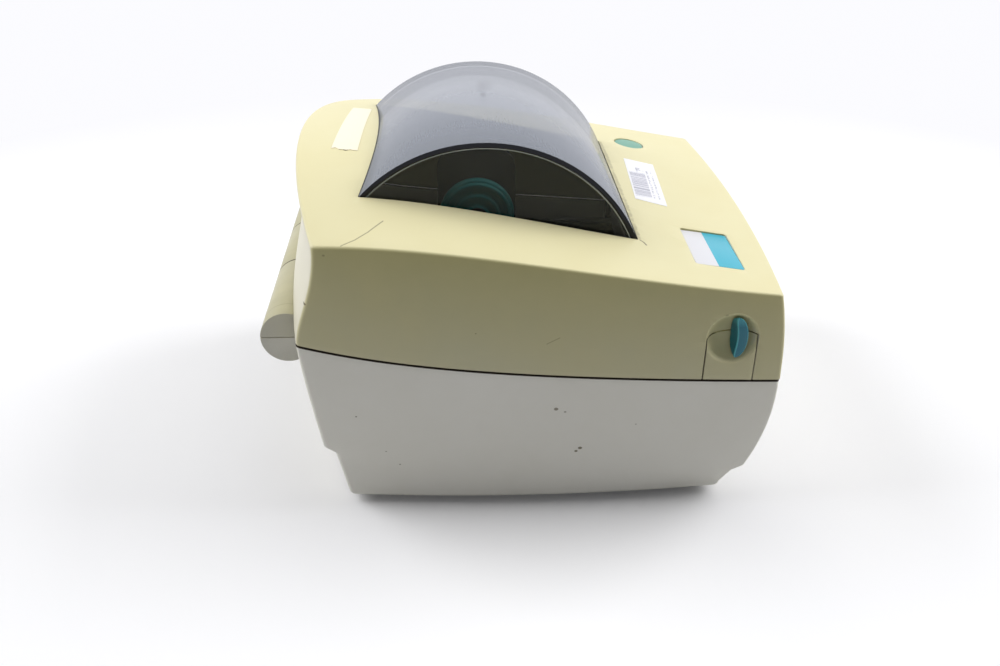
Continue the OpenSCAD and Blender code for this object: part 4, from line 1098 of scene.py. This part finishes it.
def latch_slide(side, word):
    """Tab in the dish, its stem through the slot, the plate behind and the hook below."""
    surface = -side_x(DISH_Y)
    name = "latch_tab_" + word
    tab = rings_up(name, [tab_ring(surface + 0.1 * MM), tab_ring(surface + 2 * MM, 0.3 * MM),
                          tab_ring(surface + 4 * MM, 0.8 * MM), tab_ring(surface + 6.2 * MM, 1.4 * MM)])
    tab.data.transform(square_to_side())
    carve(tab, scoop("rest", -1, 0.3 * MM), scoop("pulled", -1, 0.3 * MM, LATCH_TRAVEL),
          how="INTERSECT")
    finish_edges(tab, 0.35 * MM, 3, 62)
    inner = -HALF_W + PLATE_IN
    outer = inner + 2 * MM
    hook_z = PART_FRONT - 12 * MM
    plate = block("plate", (inner, DISH_Y - 9 * MM, DISH_Z - 8 * MM),
                  (outer, DISH_Y + 10 * MM, DISH_Z + 12 * MM))
    carve(plate, block("window", (inner - MM, DISH_Y + 2 * MM, DISH_Z - 3 * MM),
                       (outer + MM, DISH_Y + 7 * MM, DISH_Z + 7 * MM)))
    carve(plate, block("leg", (inner, DISH_Y - 6 * MM, hook_z - 2 * MM), (outer, DISH_Y, DISH_Z - 7 * MM)),
          extrude_yz("hook", [(DISH_Y - MM, hook_z - 2 * MM), (DISH_Y + 4.3 * MM, hook_z + MM),
                              (DISH_Y + 4.3 * MM, hook_z + 3 * MM), (DISH_Y - MM, hook_z + 3.5 * MM)],
                     inner, outer),
          block("stem", (surface + 4.2 * MM, DISH_Y - 3.7 * MM, DISH_Z - 4 * MM),
                (inner + 0.5 * MM, DISH_Y - 1.5 * MM, DISH_Z + 4 * MM)), how="UNION")
    finish_edges(plate, 0.2 * MM)
    slide = join(tab, plate)
    if side > 0:
        twin = mirrored(slide, name)
        bpy.data.objects.remove(slide)
        slide = twin
        slide.name = name
    smooth(slide)
    place(slide, "latch_" + word, "teal_plastic", latch_plastic.material, "latch_slide_" + word)


# ---------- paper roll hubs ----------
# Ridges of a hub: how far in from its face, and their radius, in millimetres
HUB_RIDGES = ((0.9, 4.4), (0, 4.8), (0, 6.4), (2.2, 6.8), (2.2, 9.8), (0.8, 10.2), (0.8, 11.8),
              (3.4, 12.2), (3.4, 15.4), (2, 15.8), (2, 17.4), (4.2, 17.8), (4.2, 18.6), (4.8, 19.2),
              (7.8, 19.2), (8.3, 18.8))


def paper_hub(word):
    """Stepped hub with round ridges, facing the paper roll."""
    low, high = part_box("hub_" + word)
    face, inward = (high.x, -1) if word == "left" else (low.x, 1)
    axis = Vector((0, (low.y + high.y) / 2, (low.z + high.z) / 2))
    turns = [2 * math.pi * i / 72 for i in range(72)]
    hub = rings_up("roll_hub_" + word, [[(face + inward * depth * MM, axis.y + r * MM * math.cos(a),
                                          axis.z + r * MM * math.sin(a)) for a in turns]
                                        for depth, r in HUB_RIDGES])
    finish_edges(hub, 0.15 * MM, 2, 40)
    place(hub, "hub_" + word + "_body", "teal_plastic", teal_plastic.material, "hub_" + word)


# ---------- controls, badge and stickers ----------
def sheet(name, corners, thick, finish, ragged=0.0):
    """Thin sticker on the lid's top between four [x, y] corners; ragged tears its near end."""
    bpy.ops.mesh.primitive_grid_add(x_subdivisions=28, y_subdivisions=14, size=1)
    piece = added(name)
    mesh = edit(piece)
    near_rear, near_front, far_front, far_rear = corners
    for vertex in mesh.verts:
        along, share = vertex.co.x + 0.5, vertex.co.y + 0.5
        x, y = (mix(mix(a, b, share), mix(c, d, share), along)
                for a, b, c, d in zip(near_front, near_rear, far_front, far_rear))
        end = max(0, 1 - along * 16)
        x += end * ragged * (math.sin(9 * share) + 0.6 * math.sin(23 * share + 1) + 0.7 * share)
        vertex.co = (x * MM, y * MM, top_z(x * MM, y * MM) + 0.03 * MM)
    leave(piece)
    use(piece, "SOLIDIFY", thickness=thick, offset=1)
    smooth(piece)
    return place(piece, "lid", "badge_plastic", finish.material)


def feed_button():
    button = top_bar("button", BUTTON_X, BUTTON_Y, BUTTON_R, -7.8 * MM, -0.3 * MM, 96)
    finish_edges(button, 0.9 * MM, 4)
    place(button, "button", "button_plastic", button_plastic.material, "feed_button")


def badge():
    plate = top_plate("badge", BADGE_X, BADGE_Y, BADGE_W, BADGE_D, -BADGE_DEPTH, -0.4 * MM, 1 * MM)
    finish_edges(plate, 0.12 * MM)
    place(plate, "lid", "badge_plastic", badge_plastic.material, "badge_plate")


# ---------- stage ----------
def floor():
    """Pale floor that keeps the shadow and fades into the background far away."""
    bpy.ops.mesh.primitive_plane_add(size=8)
    ground = added("floor")
    paper = Finish("floor_paper", FLOOR_TINT, 0.9, Specular_IOR_Level=0.1)
    seen = paper.seen()
    paper.set("Base Color", paper.blend(seen, FLOOR_TINT, colour(250, 250, 252)))
    x, y, _ = paper.place()
    away = paper.ramp(x * x + y * y, (0.045, 0), (0.34, 1))
    glow = paper.node("ShaderNodeEmission", {}, {"Color": BACKGROUND, "Strength": 1}).outputs[0]
    shaded = paper.node("ShaderNodeMixShader", {}, {0: seen * (0.03 + away * 0.97),
                                                    1: paper.shader.outputs[0], 2: glow})
    paper.tree.links.new(shaded.outputs[0], paper.tree.nodes["Material Output"].inputs["Surface"])
    ground.data.materials.append(paper.material)


def room():
    """Soft light from all round; the pale background shows to the eye, in gloss and through glass."""
    world = bpy.data.worlds.new("room")
    bpy.context.scene.world = world
    world.use_nodes = True
    nodes_of, link = world.node_tree.nodes, world.node_tree.links.new

    def background(node, tint, strength):
        node.inputs["Color"].default_value = tint
        node.inputs["Strength"].default_value = strength
        return node.outputs[0]

    plain = background(nodes_of["Background"], ROOM_TINT, ROOM_LIGHT)
    bright = background(nodes_of.new("ShaderNodeBackground"), BACKGROUND, 1)
    rays = nodes_of.new("ShaderNodeLightPath").outputs
    seen = rays["Is Camera Ray"]
    for kind in ("Is Glossy Ray", "Is Transmission Ray"):
        either = nodes_of.new("ShaderNodeMath")
        either.operation = "MAXIMUM"
        link(seen, either.inputs[0])
        link(rays[kind], either.inputs[1])
        seen = either.outputs[0]
    chosen = nodes_of.new("ShaderNodeMixShader")
    for socket, source in zip(chosen.inputs, (seen, plain, bright)):
        link(source, socket)
    link(chosen.outputs[0], nodes_of["World Output"].inputs["Surface"])


def lamp(name, size, power, where, target):
    light = bpy.data.lights.new(name, "AREA")
    light.shape = "RECTANGLE"
    light.size, light.size_y = size
    light.energy = power
    piece = bpy.data.objects.new(name, light)
    bpy.context.scene.collection.objects.link(piece)
    piece.location = where
    piece.rotation_euler = (Vector(target) - Vector(where)).to_track_quat("-Z", "Y").to_euler()


LAMPS = (("overhead", (1.2, 1.2), 5.5, (0.2, -0.1, 1.4)), ("front", (1, 1), 15, (0.2, -1.1, 0.9)),
         ("rear", (1, 1), 15, (0.2, 1.1, 0.9)))


# Camera: place, the way it looks and its lens
CAMERA_AT = (-0.47783, 0.02825, 0.28543)
CAMERA_YAW, CAMERA_DOWN, CAMERA_ROLL = -0.04687, 0.48355, -0.002
LENS, SENSOR_WIDTH = 39.6, 36


def camera():
    view = bpy.data.cameras.new("camera")
    view.lens = LENS
    view.sensor_width = SENSOR_WIDTH
    piece = bpy.data.objects.new("camera", view)
    bpy.context.scene.collection.objects.link(piece)
    level = math.cos(CAMERA_DOWN)
    ahead = Vector((level * math.cos(CAMERA_YAW), level * math.sin(CAMERA_YAW), -math.sin(CAMERA_DOWN)))
    right = ahead.cross(Vector((0, 0, 1))).normalized()
    up = right.cross(ahead)
    turn = Matrix((right, up, -ahead)).transposed() @ Matrix.Rotation(-CAMERA_ROLL, 3, "Z")
    piece.matrix_world = Matrix.Translation(CAMERA_AT) @ turn.to_4x4()
    bpy.context.scene.camera = piece


# ---------- nodes that keep their own shape ----------
FINISHES = {
    "black_plastic": black_plastic, "teal_plastic": teal_plastic, "gear_plastic": gear_plastic,
    "rubber": rubber, "steel": steel, "brass": brass, "aluminium": aluminium, "ceramic": ceramic,
    "board_green": board_green, "button_plastic": button_plastic, "lid_plastic": lid_plastic,
    "base_plastic": base_plastic, "smoke_window": smoke_window, "badge_plastic": badge_plastic,
}
SLOTS = {part["node"]: part["material_slot"] for part in frame["record"]["subparts"]}
BODIES = {node: body for body, held in frame["record"]["behaviour"]["bodies"].items() for node in held}
# Nodes that get broken edges, and how much in millimetres
ROUNDED = (("base_chassis", 0.3), ("side_frame_left", 0.25), ("side_frame_right", 0.25), ("front_lip", 0.3),
           ("lid_frame", 0.3), ("hanger_left", 0.4), ("hanger_right", 0.4), ("rear_panel", 0.25),
           ("rubber_feet", 0.5), ("power_rocker", 0.4), ("switch_housing", 0.3), ("power_inlet", 0.3),
           ("serial_port", 0.25), ("parallel_port", 0.25), ("gear_plate", 0.2), ("stepper_motor", 0.4),
           ("gap_sensor", 0.2), ("head_carrier", 0.25), ("head_sink", 0.2), ("board_components", 0.15),
           ("platen_rubber", 0.3), ("tear_bar", 0.1), ("platen_gear", 0.12), ("idler_gear", 0.12),
           ("motor_gear", 0.12), ("rack_pinion", 0.12))


def dress_nodes():
    for name, node in nodes.items():
        node.data.materials.clear()
        node.data.materials.append(FINISHES[SLOTS[name]].material)


def rounded(node, width):
    """Copy of a node with its edges broken, in the node's place and finish."""
    piece = copy(nodes[node], "trimmed_" + node)
    edit(piece)
    bpy.ops.mesh.select_all(action="SELECT")
    bpy.ops.mesh.remove_doubles(threshold=0.005 * MM)
    bpy.ops.mesh.dissolve_limited(angle_limit=math.radians(1))
    bpy.ops.object.mode_set(mode="OBJECT")
    if width:
        use(piece, "BEVEL", width=width, segments=2, limit_method="ANGLE", angle_limit=math.radians(38))
    smooth(piece)
    slot = SLOTS[node]
    return place(piece, BODIES[node], slot, FINISHES[slot].material, node)


def pressure_springs():
    """Springs above the print head, as a smooth-shaded copy with a mesh of its own."""
    springs = rounded("head_springs", 0)
    pivot = joints["head_pivot"]
    low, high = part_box("head_springs")
    rise = (pivot["pos_m"][1] - low.y) * math.sin(math.radians(pivot["range_deg"][1]))
    1 - rise / (high.z - low.z)
    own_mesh(springs)


dress_nodes()
for node, width in ROUNDED:
    rounded(node, width * MM)
pressure_springs()
base_shell()
lid_and_panels()
hinge_caps()
window_cover()
feed_button()
badge()
for word in ("left", "right"):
    paper_hub(word)
for side, word in ((-1, "left"), (1, "right")):
    latch_slide(side, word)
sheet("barcode_sticker", ((-17.3, -53.8), (-20.4, -67.9), (38.6, -71.4), (41.1, -57.1)), 0.12 * MM,
      sticker_paper)
sheet("tape_strip", ((-22.4, 79.3), (-22.8, 68.2), (48.3, 66.1), (48.7, 75.0)), 0.16 * MM, tape_paper, 0.7)
floor()
room()
camera()
for name, size, power, where in LAMPS:
    lamp(name, size, power, where, (0, 0, 0.08))
bpy.context.scene.view_settings.view_transform = "Standard"

deselect()
